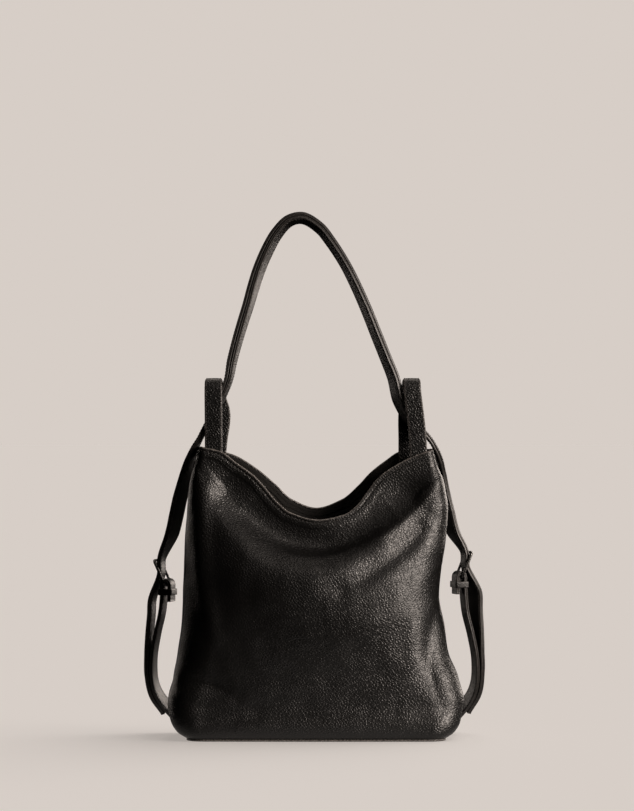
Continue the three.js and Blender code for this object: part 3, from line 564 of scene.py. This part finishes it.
# The outside of a panel at u across (-1 left seam, 1 right seam) and v from the foot to the hem. The hem
# height depends on x and x on the height, so both are found by repeating.
def panelSurface(panel, u, v):
    def hemHeight(x):
        return bagHeight - panel['drop'] * readTable(panel['hem'], 1, x / halfWidth)

    right = u > 0
    sign = np.where(right, 1, -1)
    along = 1 - np.abs(u)
    top = np.full(u.shape, bagHeight)
    for _ in range(12):
        x = sign * quarterPoint(along, *sectionAt(right, top))[0]
        top = hemHeight(x)
    slant = 1 / np.hypot(1, hemHeight(x + 1) - top)
    z = footHeight + (top - hemWall / 2 - footHeight) * v
    x, y, normalX, normalY, run = quarterPoint(along, *sectionAt(right, z))
    fromHem = (top - z) * slant
    slouch = readTable(panel['slouch'], 1, z / bagHeight) * smoothStep(*body['slouchStart'], run)
    lift = foldLift(panel['folds'], sign * x, z) * smoothStep(0, body['foldFoot'], v)
    lift = lift + halfDepth * slouch
    calm = smoothStep(*body['calmSeam'], run) * smoothStep(*body['calmFoot'], z)
    calm = calm * smoothStep(*body['calmHem'], fromHem)
    lift = lift + body['waves'] * calm * hideWaves(sign * x, z, body['waveSize'], panel['seed'])
    seam = np.exp(-((run / body['seamWidth']) ** 2))
    pucker = np.cos(2 * math.pi * z / body['puckerPitch']) * np.exp(-((run / body['puckerReach']) ** 2))
    hem = 1 - smoothStep(*body['hemEdge'], fromHem)
    stitchLine = np.exp(-(((fromHem - body['stitchDrop']) / body['stitchWidth']) ** 2))
    lift = lift - body['seamDip'] * seam + body['pucker'] * pucker
    lift = lift + body['hemSwell'] * (hem - stitchLine) * smoothStep(0, 10, run)
    return np.stack([
        sign * (x + normalX * lift),
        panel['face'] * (y + normalY * lift + seamGap / 2),
        z,
    ], axis=-1), fromHem, run


def gridNormal(points):
    return unit(np.cross(np.gradient(points, axis=0), np.gradient(points, axis=1)))


# A panel is a closed wall: outside up to the hem, round over the rim, and down the inside a wall
# thickness behind. Columns run so that the outside faces outward. Its two side edges are strips between
# outside and inside with a cap at the rim.
def makePanel(name, panel, node):
    u = -panel['face'] * np.linspace(-1, 1, body['columns'] + 1)
    low = np.linspace(0, 1 - body['hemBand'], body['rows'] - body['hemRows'] + 1)
    v = np.concatenate([low, np.linspace(1 - body['hemBand'], 1, body['hemRows'] + 1)[1:]])
    outside, fromHem, run = panelSurface(panel, *np.broadcast_arrays(u[:, None], v[None, :]))
    hem = 1 - smoothStep(*body['hemInside'], fromHem)
    thick = body['wall'] + (hemWall - body['wall']) * hem
    inside = outside - gridNormal(outside) * thick[..., None]
    inside[[0, -1], :, 1] = outside[[0, -1], :, 1]
    inside[:, 0, 2] = outside[:, 0, 2]
    middle = (outside[:, -1] + inside[:, -1]) / 2
    half = outside[:, -1] - middle
    upward = squareTo(unit(outside[:, -1] - outside[:, -3]), unit(half))
    angle = np.linspace(0, math.pi, body['rimSteps'] + 2)[1:-1, None]
    rim = (middle[:, None] + half[:, None] * np.cos(angle)
           + upward[:, None] * np.linalg.norm(half, axis=1)[:, None, None] * np.sin(angle))
    wall = np.concatenate([outside, rim, inside[:, ::-1]], axis=1)
    columns, around = wall.shape[:2]
    quads = gridFaces(columns, around, False, True)
    step = np.arange(len(v) - 1)
    edges, rimCaps = [], []
    for start, turn in ((0, -1), ((columns - 1) * around, 1)):
        strip = [start + step, start + step + 1, start + around - 2 - step, start + around - 1 - step]
        edges.append(np.stack(strip[::turn], axis=1))
        rimCaps.append(range(start + len(v) - 1, start + len(v) + 1 + body['rimSteps'])[::-turn])
    points = wall.reshape(-1, 3)
    faces = facingOut(points, np.concatenate([quads, *edges]), rimCaps)
    lining = np.arange(len(quads)) % around >= len(v) + body['rimSteps'] + 3
    bands = np.concatenate([lining, np.zeros(len(faces) - len(quads))])
    # Lighter along the hem rim and its edge, the side seams and the foot: rubbed wear and painted
    # highlight lines
    wornHighlight = np.exp(-fromHem / 0.7) + 0.12 * np.exp(-run / 2) + 0.1 * np.exp(-outside[..., 2] / 3)
    rubAndHighlight = np.zeros((columns, around))
    rubAndHighlight[:, :len(v)] = np.clip(wornHighlight, 0, 1)
    rubAndHighlight[:, len(v):len(v) + body['rimSteps']] = 1
    makePiece(name, points, faces, [bodyLeather, insideSuede], 'body_leather', [node], bands, rubAndHighlight)


for name, panel in panels.items():
    makePanel(f'{name}_panel_leather', panel, f'{name}_panel')
    print(f'{name} panel made')


# Stitches along a hem, at a set distance below its edge, which is found by repeating
def makeHemStitches(name, panel):
    size = {'pitch': 4.4, 'threadLength': 3.1, 'threadRadius': 0.34, 'ends': 0.96, 'sink': 0.05}
    u = np.linspace(-size['ends'], size['ends'], 400)[:, None]
    v = np.full(u.shape, 1.0)
    for _ in range(6):
        v = v + (panelSurface(panel, u, v)[1] - body['stitchDrop']) / 280
    near = np.concatenate([v - 0.002, v, v + 0.002], axis=1)
    points = panelSurface(panel, np.broadcast_to(u, near.shape), near)[0]
    normal = gridNormal(points)[:, 1] * -panel['face']
    corner, faces = threadMesh([threadPoints(points[:, 1] - normal * size['sink'], normal, size)])
    makePiece(name, corner, faces, [waxedThread], 'strap_leather')


for name, panel in panels.items():
    makeHemStitches(f'{name}_hem_stitches', panel)


# The base is a plate with rounded edges: the outline of the lowest section, drawn in at each level
def makeBase():
    size = {'thick': 2.6, 'inset': 0.7, 'round': 0.9, 'quarter': 40, 'levels': 9}
    share = np.linspace(0, 1, size['quarter'], endpoint=False)
    foot = np.full(share.shape, footHeight)
    angle = np.linspace(-math.pi / 2, math.pi / 2, size['levels'])[:, None]
    inset = size['inset'] + size['round'] * (1 - np.cos(angle))
    quarters = []
    for sign, back in ((1, -1), (-1, -1), (-1, 1), (1, 1)):
        along = share if sign == -back else 1 - share
        section = sectionAt(np.full(share.shape, sign > 0), foot)
        x, y, normalX, normalY = quarterPoint(along, *section)[:4]
        z = size['thick'] / 2 + (size['thick'] / 2) * np.sin(angle) + 0 * x
        x, y = sign * (x - normalX * inset), back * (y - normalY * inset + seamGap / 2)
        quarters.append(np.stack([x, y, z], axis=-1))
    grid = np.concatenate(quarters, axis=1)
    # The plate's rounded rim is marked lighter: rubbed wear and a painted highlight line
    rubAndHighlight = np.broadcast_to(np.exp(-np.abs(angle) / 0.7), grid.shape[:2])
    makePiece('base_panel_leather', *tubeMesh(grid, False), [baseLeather], 'body_leather',
              ['base_panel'], rubAndHighlight=rubAndHighlight)


makeBase()
print('base made')

strap = {
    'width': 20.0, 'thick': 5.0, 'handleThick': 9.0, 'lowerThick': 4.0, 'handleTop': 591.5, 'step': 2.4,
    'corner': 1.0, 'dome': 0.25, 'groove': 0.35, 'splitGroove': 1.5, 'grooveWidth': 0.55,
    'plyGroove': 0.4, 'plyWidth': 0.4,
    'edgePlaces': (0.06, 0.12, 0.2, 0.32, 0.42, 0.47, 0.5, 0.53, 0.58, 0.68, 0.86),
    'pitch': 3.6, 'stitchInset': 2.3, 'threadLength': 2.7, 'threadRadius': 0.3, 'threadSink': 0.05,
    'tailReach': 0.9, 'tailPlay': 0.9, 'tailSpread': 1.6, 'foldRadius': 4.4, 'foldTail': 20.0,
    # in the buckle: along the frame, out of its face in steps of the room that the strap needs
    'weave': [(0.46, -1.25), (-0.06, 0.55)],
}
buckle = {
    'wire': 3.0, 'length': 30.0, 'play': 0.9, 'pinWire': 2.0, 'corner': 3.0, 'around': 14,
    'cornerSteps': 9,
    # along the frame, out in steps of the two wires, thickness share
    'pin': [(-0.5, 0.1, 1.0), (-0.32, 0.8, 1.0), (0.1, 1.06, 1.0), (0.5, 1.0, 0.9), (0.58, 0.7, 0.6)],
    # the pin's eye round the low bar: half sizes, corner and steps; half sizes of its wire
    'eye': (2.5, 2.5, 2.49, 7), 'eyeWire': (0.75, 1.3),
}
loop = {
    'width': 20.0, 'thick': 2.4, 'rise': 77.0, 'foot': 24.0, 'corner': 0.8, 'dome': 0.2, 'step': 1.6,
    'pitch': 3.4, 'stitchInset': 2.0, 'threadLength': 2.5, 'threadRadius': 0.3, 'topRound': 4.0,
}
keeper = {'width': 7.0, 'thick': 1.6, 'corner': 1.6, 'round': 0.55, 'drop': 0.45}

# across (of halfWidth), rise (hem corner 0, handleTop 1), turn in degrees from edge-on, doubled (0 to 1)
archRows = [
    (-0.775, 0.165, 8, 0.3), (-0.685, 0.285, 6, 0.7), (-0.655, 0.37, 8, 1), (-0.616, 0.456, 10, 1),
    (-0.575, 0.535, 12, 1), (-0.531, 0.614, 14, 1), (-0.49, 0.695, 17, 1), (-0.446, 0.772, 19, 1),
    (-0.386, 0.852, 20, 1), (-0.31, 0.93, 19, 0.95), (-0.212, 0.988, 18, 0.85),
    (-0.105, 1, 18, 0.8), (0.023, 0.957, 18, 0.7), (0.1, 0.904, 18, 0.6), (0.221, 0.798, 18, 0.5),
    (0.314, 0.693, 20, 0.45), (0.395, 0.588, 22, 0.45), (0.469, 0.482, 23, 0.45),
    (0.543, 0.377, 24, 0.4), (0.597, 0.298, 27, 0.35), (0.64, 0.2, 32, 0.25),
]
# across, height, back (of baseHalfDepth), turn
leftRun = [
    (0.848, 1.071, 0, 8), (0.902, 1.0263, 0.03, 5), (0.952, 0.9857, 0.08, 14),
    (0.986, 0.9441, 0.16, 28), (1.012, 0.9015, 0.22, 38), (1.062, 0.8203, 0.3, 45),
    (1.092, 0.7594, 0.33, 45), (1.126, 0.6964, 0.35, 42),
]
rightRun = [
    (0.735, 1.0771, 0, 22), (0.835, 1.0436, 0.02, 6), (0.912, 1.0009, 0.08, 0),
    (0.955, 0.9532, 0.18, 10), (0.968, 0.9045, 0.28, 26), (0.99, 0.8406, 0.34, 35),
    (1.025, 0.7695, 0.36, 40), (1.062, 0.7056, 0.37, 40),
]
lowerRun = [
    (1.176, 0.4701, 0.385, 15), (1.192, 0.4264, 0.4, 15), (1.234, 0.3462, 0.43, 15),
    (1.265, 0.265, 0.47, 15), (1.264, 0.1858, 0.54, 17), (1.236, 0.1412, 0.61, 22),
    (1.19, 0.1067, 0.7, 28),
]
lowerEnd = {'height': 0.056, 'cornerTurn': 36}
# The free end: place along it, and how much of tailSpread and of its side's tailTwist it keeps
tailRows = [
    (0.12, 1, 1), (0.25, 0.85, 1), (0.4, 0.45, 0.65), (0.55, 0.12, 0.15), (0.7, 0, 0), (0.85, 0, 0),
    (1, 0, 0),
]
# The loops: places of their legs and top (of halfWidth); Back, Lean and Base are steps from these
sides = {
    'left': {
        'sign': -1, 'run': leftRun, 'buckleOut': 1.202, 'buckleUp': 0.563, 'tilt': 25, 'spread': 1,
        'tailTwist': 0, 'loopFront': -0.795, 'loopTop': -0.798, 'loopBack': 0.004, 'loopLean': 0.06,
        'loopBase': 0.014,
    },
    'right': {
        'sign': 1, 'run': rightRun, 'buckleOut': 1.152, 'buckleUp': 0.59, 'tilt': 22, 'spread': 0.985,
        'tailTwist': 31, 'loopFront': 0.795, 'loopTop': 0.741, 'loopBack': -0.01, 'loopLean': -0.036,
        'loopBase': -0.09,
    },
}
vertical = np.array([0.0, 0.0, 1.0])


# The direction of a side strap's width, turned so that its inner face looks forward
def sideAcross(sign, turn):
    turn = math.radians(turn)
    return np.array([-sign * math.sin(turn), math.cos(turn), 0])


def runPoint(side, row, share=1.0):
    place = np.array([side['sign'] * row[0] * share * halfWidth, row[2] * halfDepth,
                      row[1] * bagHeight])
    return place, sideAcross(side['sign'], row[3])


# Where a buckle sits: its middle, its own directions and the middle of its low bar
def bucklePlace(side):
    across = sideAcross(side['sign'], lowerRun[0][3])
    out = np.array([side['sign'] * across[1], abs(across[0]), 0])
    lean = math.radians(side['tilt'])
    up = vertical * math.cos(lean) + out * math.sin(lean)
    centre = np.array([side['sign'] * side['buckleOut'] * halfWidth,
                       lowerRun[0][2] * halfDepth, side['buckleUp'] * bagHeight])
    face = np.cross(across, up) * side['sign']
    return {'centre': centre, 'across': across, 'out': out, 'up': up, 'face': face,
            'lowBar': centre - up * buckle['length'] / 2}


# The lower strap: short end inside, half a turn over the bar, then down and round the back corner
def lowerPath(side):
    place = bucklePlace(side)
    across = place['across']

    def around(angle):
        return (place['lowBar'] - place['out'] * math.cos(angle) * strap['foldRadius']
                + vertical * math.sin(angle) * strap['foldRadius'])

    rows = [(around(0) - vertical * drop, across) for drop in (strap['foldTail'], strap['foldTail'] / 2)]
    rows += [(around(math.pi * i / 6), across) for i in range(7)]
    start = around(math.pi)
    rows.append((start - vertical * strap['foldTail'] / 2, across))
    below = lowerRun[1:]
    shift = start[0] - runPoint(side, lowerRun[0], side['spread'])[0][0]
    for i, row in enumerate(below):
        point, turned = runPoint(side, row, side['spread'])
        point[0] += max(0, 1 - (i + 1) / len(below)) * shift
        rows.append((point, turned))
    z = lowerEnd['height'] * bagHeight
    width, depth, radius, _ = [float(value) for value in sectionAt(side['sign'] > 0, np.float64(z))]
    angle = math.radians(lowerEnd['cornerTurn'])
    reach = radius + strap['lowerThick'] / 2 + seamGap
    corner = np.array([side['sign'] * (width - radius + reach * math.cos(angle)),
                       depth - radius + reach * math.sin(angle) + seamGap / 2, z])
    rows.append((corner, sideAcross(side['sign'], lowerEnd['cornerTurn'])))
    return rows


# The free end lies outside the lower strap and comes close to it below the buckle
def tailPath(side):
    lower = lowerPath(side)[8:]
    centre, place = smoothPath([point for point, _ in lower], 0.5)
    across = unit(readAlong([turned for _, turned in lower], place))
    tangent = unit(np.gradient(centre, axis=0))
    close = (strap['lowerThick'] + strap['thick']) / 2 + strap['tailPlay']
    last = len(centre) - 1
    rows = []
    for share, spread, twist in tailRows:
        at = min(int(round(share * strap['tailReach'] * last)), last)
        face = unit(np.cross(across[at], tangent[at]))
        face = face if face[0] * side['sign'] > 0 else -face
        turn = side['sign'] * math.radians(side['tailTwist'] * twist)
        x, y, z = across[at]
        turned = np.array([x * math.cos(turn) - y * math.sin(turn),
                           x * math.sin(turn) + y * math.cos(turn), z])
        out = close + strap['thick'] * strap['tailSpread'] * spread
        rows.append((centre[at] + face * out, turned))
    return rows


# The strap passes inside the top bar of the buckle and outside the low one
def buckleWeave(side):
    place = bucklePlace(side)
    clear = strap['thick'] / 2 + buckle['wire'] / 2 + seamGap
    return [(place['centre'] + place['up'] * buckle['length'] * along + place['face'] * clear * out,
             place['across']) for along, out in strap['weave']]


# The long strap: up the left side, over the top as the handle, and down the right side. Over the top its
# width stands along Y, turned by each row's angle about the path.
def shoulderPath():
    rise = strap['handleTop'] - bagHeight
    middle = np.array([[row[0] * halfWidth, 0, bagHeight + rise * row[1]] for row in archRows])
    chord = np.vstack([middle[1:], middle[-1:]]) - np.vstack([middle[:1], middle[:-1]])
    back = np.array([0.0, 1.0, 0.0])
    out = unit(np.cross(chord, back))
    turn = np.radians([row[2] for row in archRows])[:, None]
    arch = [(point, across, row[3]) for point, across, row
            in zip(middle, back * np.cos(turn) - out * np.sin(turn), archRows)]
    left, right = [
        [(point, across, 0) for point, across
         in [runPoint(side, row) for row in side['run']] + buckleWeave(side) + tailPath(side)]
        for side in sides.values()]
    return left[::-1] + arch + right


# Section of a strap: two slightly domed faces, round corners, and edges with a groove between the
# plies. Where it is doubled the groove deepens to a split and each half shows its own ply line. Gives
# the places across and out of the face, and where the smooth painted edges are.
def strapSection(half, thick, corner, dome, doubled):
    thick, doubled = thick[:, None], doubled[:, None]
    b = thick / 2
    facePlace = np.linspace(1, -1, 13)[1:-1] * (half - corner)
    halfEdge = np.array(strap['edgePlaces'])
    edgePlace = np.concatenate([halfEdge[::-1], [0], -halfEdge])
    arc = np.linspace(0, math.pi / 2, 5)
    bulge = dome * (1 - (facePlace / half) ** 2)
    place = edgePlace * (b - corner)
    depth = strap['groove'] + (strap['splitGroove'] - strap['groove']) * doubled
    dip = depth * np.exp(-((place / strap['grooveWidth']) ** 2))
    ply = np.exp(-(((np.abs(place) - b / 2) / strap['plyWidth']) ** 2))
    dip = dip + strap['plyGroove'] * doubled * ply
    rows = [
        (facePlace, b + bulge, facePlace * 0),
        (corner - half - corner * np.sin(arc), b - corner + corner * np.cos(arc), arc / arc[-1]),
        (dip - half, place, edgePlace * 0 + 1),
        (corner - half - corner * np.cos(arc), corner - b - corner * np.sin(arc), 1 - arc / arc[-1]),
    ]
    p, q, edge = [], [], []
    for turn in (1, -1):
        for across, out, smooth in rows:
            p.append(turn * np.broadcast_to(across, out.shape))
            q.append(turn * out)
            edge.append(smooth)
    return np.concatenate(p, axis=1), np.concatenate(q, axis=1), np.concatenate(edge)


# A strap with its two rows of stitches on each face. full is its thickness where it is doubled; topRound
# is the height over which the strap narrows to a round top.
def makeStrap(name, node, rows, size, thick, full, look=strapLeather, topRound=0.0):
    centre, place = smoothPath([row[0] for row in rows], size['step'])
    doubled = readAlong([row[2] if len(row) > 2 else 0.0 for row in rows], place)
    across, face = pathFrame(centre, readAlong([row[1] for row in rows], place))
    thickness = thick + (full - thick) * doubled
    half = size['width'] / 2
    p, q, edge = strapSection(half, thickness, size['corner'], size['dome'], doubled)
    if topRound:
        near = np.clip(1 - (centre[:, 2].max() - centre[:, 2]) / topRound, 0, 1)
        p = p * (1 - 0.5 * topRound / half * (1 - np.sqrt(1 - near**2)))[:, None]
    grid = sweepPoints(centre, across, face, p, q)
    # Lighter along the rounded edges: rubbed wear and painted highlight lines
    rubAndHighlight = np.exp(-((np.abs(p) - half + size['corner'] * 0.5) / 0.9) ** 2)
    makePiece(name, *tubeMesh(grid, False), [look], 'strap_leather', [node], rubAndHighlight=rubAndHighlight, edge=edge)
    inset = half - size['stitchInset']
    rise = size['dome'] * (1 - (inset / half) ** 2) - strap['threadSink']
    groups = []
    for turn in (1, -1):
        for edgeSide in (1, -1):
            line = centre + across * inset * edgeSide + face * (turn * (thickness / 2 + rise))[:, None]
            groups.append(threadPoints(line[2:-2], (face * turn)[2:-2], size))
    corner, threads = threadMesh(groups)
    makePiece(f'{node}_stitches', corner, threads, [waxedThread], 'strap_leather')


makeStrap('shoulder_strap_leather', 'shoulder_strap', shoulderPath(), strap, strap['thick'],
          strap['handleThick'])
for name, side in sides.items():
    makeStrap(f'{name}_lower_strap_leather', f'{name}_lower_strap', lowerPath(side), strap,
              strap['lowerThick'], strap['lowerThick'])
print('straps made')


# A loop: a leg inside the front hem, over the top in a half circle and down inside the back hem
def loopPath(side):
    reach = body['hemHalfDepth'] - hemWall - seamGap - loop['thick'] / 2
    bend = bagHeight + loop['rise'] - loop['thick'] / 2 - reach
    foot = bagHeight - loop['foot']
    leg = bend - foot
    front, top = side['loopFront'] * halfWidth, side['loopTop'] * halfWidth
    back, lean = top + side['loopBack'] * halfWidth, top + side['loopLean'] * halfWidth
    base = front + side['loopBase'] * halfWidth
    points = [(front, -reach, foot), (front + (top - front) * 0.35, -reach, foot + leg * 0.5)]
    for i in range(9):
        angle = math.pi * i / 8
        x, y = top + (back - top) * i / 8, -reach * math.cos(angle)
        points.append((x, y, bend + reach * math.sin(angle)))
    points += [(lean, reach, foot + leg * 0.7), (lean + (base - lean) * 0.5, reach, foot + leg * 0.35),
               (base, reach, foot)]
    return [(np.array(point), np.array([1.0, 0.0, 0.0])) for point in points]


for name, side in sides.items():
    makeStrap(f'{name}_loop_leather', f'{name}_loop', loopPath(side), loop, loop['thick'], loop['thick'],
              loopLeather, loop['topRound'])
print('loops made')


# The middle line of a ring, a rounded rectangle of the given half sizes in the plane of two directions,
# and its outward directions
def roundedRing(centre, first, second, halfFirst, halfSecond, corner, steps):
    angle = np.linspace(0, math.pi / 2, steps)[:, None]
    points, outward = [], []
    for quarter, (sx, sy) in enumerate([(1, 1), (-1, 1), (-1, -1), (1, -1)]):
        turned = angle + quarter * math.pi / 2
        way = first * np.cos(turned) + second * np.sin(turned)
        middle = centre + first * sx * (halfFirst - corner) + second * sy * (halfSecond - corner)
        points.append(middle + way * corner)
        outward.append(way)
    return np.concatenate(points), np.concatenate(outward)


# A ring of a section with the given places outward and along a side direction
def ringGrid(ring, outward, sideways, out, along):
    return ring[:, None] + outward[:, None] * out[None, :, None] + sideways * along[None, :, None]


def makeBuckle(name, side):
    place = bucklePlace(side)
    wire, pin = buckle['wire'], buckle['pinWire']
    length, out = buckle['length'], (wire + pin) / 2
    half = strap['width'] / 2 + buckle['play'] + wire / 2
    ring, outward = roundedRing(place['centre'], place['across'], place['up'], half, length / 2,
                                buckle['corner'], buckle['cornerSteps'])
    spin = np.arange(buckle['around']) * 2 * math.pi / buckle['around']
    frameGrid = ringGrid(ring, outward, place['face'], wire / 2 * np.cos(spin), wire / 2 * np.sin(spin))
    makePiece(f'{name}_buckle_frame', *tubeMesh(frameGrid), [darkNickel], 'buckle_metal',
              [f'{name}_buckle'])
    centre, where = smoothPath([place['centre'] + place['up'] * row[0] * length
                                + place['face'] * row[1] * out for row in buckle['pin']], 0.6)
    across, face = pathFrame(centre, np.broadcast_to(place['across'], centre.shape))
    toEnd = np.minimum(np.arange(len(centre)), np.arange(len(centre))[::-1])
    size = readAlong([row[2] for row in buckle['pin']], where) * pin / 2
    size = (size * np.sqrt(np.clip(toEnd / 2 + 0.1, 0, 1)))[:, None]
    pinGrid = sweepPoints(centre, across, face, size * np.cos(spin), size * np.sin(spin))
    makePiece(f'{name}_buckle_pin', *tubeMesh(pinGrid, False), [darkNickel], 'buckle_metal')
    eye, eyeOut = roundedRing(place['lowBar'], place['up'], place['face'], *buckle['eye'])
    wide = np.linspace(0, 2 * math.pi, 13)[:-1]
    thick, broad = buckle['eyeWire']
    eyeGrid = ringGrid(eye, eyeOut, place['across'], thick * np.cos(wide), broad * np.sin(wide))
    makePiece(f'{name}_buckle_pin_eye', *tubeMesh(eyeGrid), [darkNickel], 'buckle_metal')


def makeKeeper(name, side):
    place = bucklePlace(side)
    middle = place['lowBar'] - vertical * strap['foldTail'] * keeper['drop']
    halfOut = strap['foldRadius'] + strap['lowerThick'] / 2 + seamGap + keeper['thick'] / 2
    halfAcross = strap['width'] / 2 + seamGap + keeper['thick'] / 2
    ring, outward = roundedRing(middle, place['out'], place['across'], halfOut, halfAcross,
                                keeper['corner'], 7)
    turn = np.linspace(0, 2 * math.pi, 29)[:-1]
    grow, rise = [
        np.clip(wave * 3, -1, 1) * (size / 2 - keeper['round']) + wave * keeper['round']
        for wave, size in ((np.cos(turn), keeper['thick']), (np.sin(turn), keeper['width']))]
    grid = ringGrid(ring, outward, vertical, grow, rise)
    # Lighter along the keeper's top and bottom edges: rubbed wear and painted highlight lines
    rubAndHighlight = np.broadcast_to(np.abs(np.sin(turn)) ** 4, grid.shape[:2])
    makePiece(f'{name}_keeper_leather', *tubeMesh(grid), [strapLeather], 'strap_leather',
              [f'{name}_keeper'], rubAndHighlight=rubAndHighlight)


for name, side in sides.items():
    makeBuckle(name, side)
    makeKeeper(name, side)
print('buckles and keepers made')

# Floor, light and camera, in metres
studio = {
    'backdrop': (0.679, 0.617, 0.571), 'shadowShare': 0.44, 'floorSize': 60.0,
    'floorSun': (0.7, 0.35, 1.0), 'floorSunAngle': 80.0,
    'nearFloor': (0.11, 0.29), 'nearBounce': 0.9,
    'camera': (0.0006, -4.0, 0.3779), 'sensor': 36.0, 'pixel': 0.00114, 'pictureHeight': 811,
    # azimuth (0 is the front, 90 the right), elevation, distance, width, height, watts
    'key': (54, 13, 2.4, 1.2, 0.9, 90.0),
    'topFill': (20, 56, 2.4, 1.4, 0.7, 7.0),
    'rightBack': (142, 12, 2.8, 1.2, 1.4, 36.0),
    'leftBack': (-135, 6, 2.8, 0.8, 1.4, 8.0),
    'backFill': (178, 58, 2.6, 1.8, 1.0, 16.0),
    'aim': (0.0, 0.0, 0.26), 'ambient': 0.001, 'lampColour': (1.0, 0.88, 0.79),
}


def backdropColour():
    return (*studio['backdrop'], 1)


# Paper that glows as bright as the backdrop and takes the shadow of a soft sun. Other rays see it only
# close to the bag, so that the far floor casts no light on the leather.
def makeStage():
    half = studio['floorSize'] / 2
    corners = [(x * half, y * half, 0) for x, y in ((-1, -1), (1, -1), (1, 1), (-1, 1))]
    mesh = bpy.data.meshes.new('studio_floor')
    mesh.from_pydata(corners, [], [(0, 1, 2, 3)])
    floor = bpy.data.objects.new('studio_floor', mesh)
    bpy.context.collection.objects.link(floor)
    material = bpy.data.materials.new('paperFloor')
    material.use_nodes = True
    tree = material.node_tree
    tree.nodes.clear()
    seen = addNode(tree, 'LightPath', (-4, -2)).outputs['Is Camera Ray']
    place = addNode(tree, 'TexCoord', (-4, 1)).outputs['Object']
    reach = addNode(tree, 'VectorMath', (-3, 1), {0: place}, operation='LENGTH').outputs['Value']
    near = mapRange(tree, (-2, 1), reach, *studio['nearFloor'], studio['nearBounce'], 0.0)
    either = mathNode(tree, (-1, 0), 'MAXIMUM', near, seen)
    glow = addNode(tree, 'Emission', (2, 0), {
        'Color': backdropColour(),
        'Strength': mathNode(tree, (0, 0), 'MULTIPLY', either, 1 - studio['shadowShare']),
    })
    paper = addNode(tree, 'BsdfDiffuse', (2, 2), {
        'Color': vectorNode(tree, (1, 2), 'SCALE', {0: studio['backdrop'], 'Scale': either}),
    })
    total = addNode(tree, 'AddShader', (4, 0), {0: glow.outputs['Emission'], 1: paper.outputs['BSDF']})
    addNode(tree, 'OutputMaterial', (6, 0), {'Surface': total.outputs['Shader']})
    mesh.materials.append(material)
    return floor


def addLamp(name, kind, place, target, receivers):
    data = bpy.data.lights.new(name, kind)
    lamp = bpy.data.objects.new(name, data)
    bpy.context.collection.objects.link(lamp)
    lamp.location = place
    away = np.array(place) - np.array(target)
    flat = math.hypot(away[0], away[1])
    lamp.rotation_euler = (math.atan2(flat, away[2]), 0, math.atan2(away[0], -away[1]))
    lamp.light_linking.receiver_collection = receivers
    return lamp, data


def addSoftbox(name, skipFloor):
    azimuth, elevation, distance, width, height, watts = studio[name]
    azimuth, elevation = math.radians(azimuth), math.radians(elevation)
    flat, aim = distance * math.cos(elevation), studio['aim']
    z = aim[2] + distance * math.sin(elevation)
    place = (flat * math.sin(azimuth), -flat * math.cos(azimuth), z)
    lamp, data = addLamp(name, 'AREA', place, aim, skipFloor)
    data.shape = 'RECTANGLE'
    data.size, data.size_y, data.energy, data.color = width, height, watts, studio['lampColour']
    lamp.visible_camera = False


def makeLights():
    floor = makeStage()
    onlyFloor, skipFloor = [bpy.data.collections.new(name) for name in ('onlyFloor', 'skipFloor')]
    onlyFloor.objects.link(floor)
    skipFloor.objects.link(floor)
    skipFloor.collection_objects[0].light_linking.link_state = 'EXCLUDE'
    direction = np.array(studio['floorSun'])
    data = addLamp('floorSun', 'SUN', tuple(direction * 3), (0, 0, 0), onlyFloor)[1]
    data.angle = math.radians(studio['floorSunAngle'])
    data.energy = math.pi * studio['shadowShare'] / (direction[2] / np.linalg.norm(direction))
    for name in ('key', 'topFill', 'rightBack', 'leftBack', 'backFill'):
        addSoftbox(name, skipFloor)


def makeWorld():
    world = bpy.data.worlds.new('studioWorld')
    bpy.context.scene.world = world
    world.use_nodes = True
    tree = world.node_tree
    tree.nodes.clear()
    seen = addNode(tree, 'LightPath', (-2, 0)).outputs['Is Camera Ray']
    dim = addNode(tree, 'Background', (0, 1), {'Color': backdropColour(), 'Strength': studio['ambient']})
    pale = addNode(tree, 'Background', (0, 2), {'Color': backdropColour()})
    mix = addNode(tree, 'MixShader', (2, 0), {
        'Fac': seen, 1: dim.outputs['Background'], 2: pale.outputs['Background'],
    })
    addNode(tree, 'OutputWorld', (4, 0), {'Surface': mix.outputs['Shader']})


def makeCamera():
    view = bpy.data.cameras.new('camera')
    view.sensor_width = studio['sensor']
    distance = -studio['camera'][1]
    view.lens = studio['sensor'] * distance / (studio['pixel'] * studio['pictureHeight'])
    view.clip_end = 200.0
    camera = bpy.data.objects.new('camera', view)
    bpy.context.collection.objects.link(camera)
    camera.location = studio['camera']
    camera.rotation_euler = (math.pi / 2, 0, 0)
    bpy.context.scene.camera = camera
    bpy.context.scene.view_settings.view_transform = 'Standard'


makeLights()
makeWorld()
makeCamera()
print('studio made')
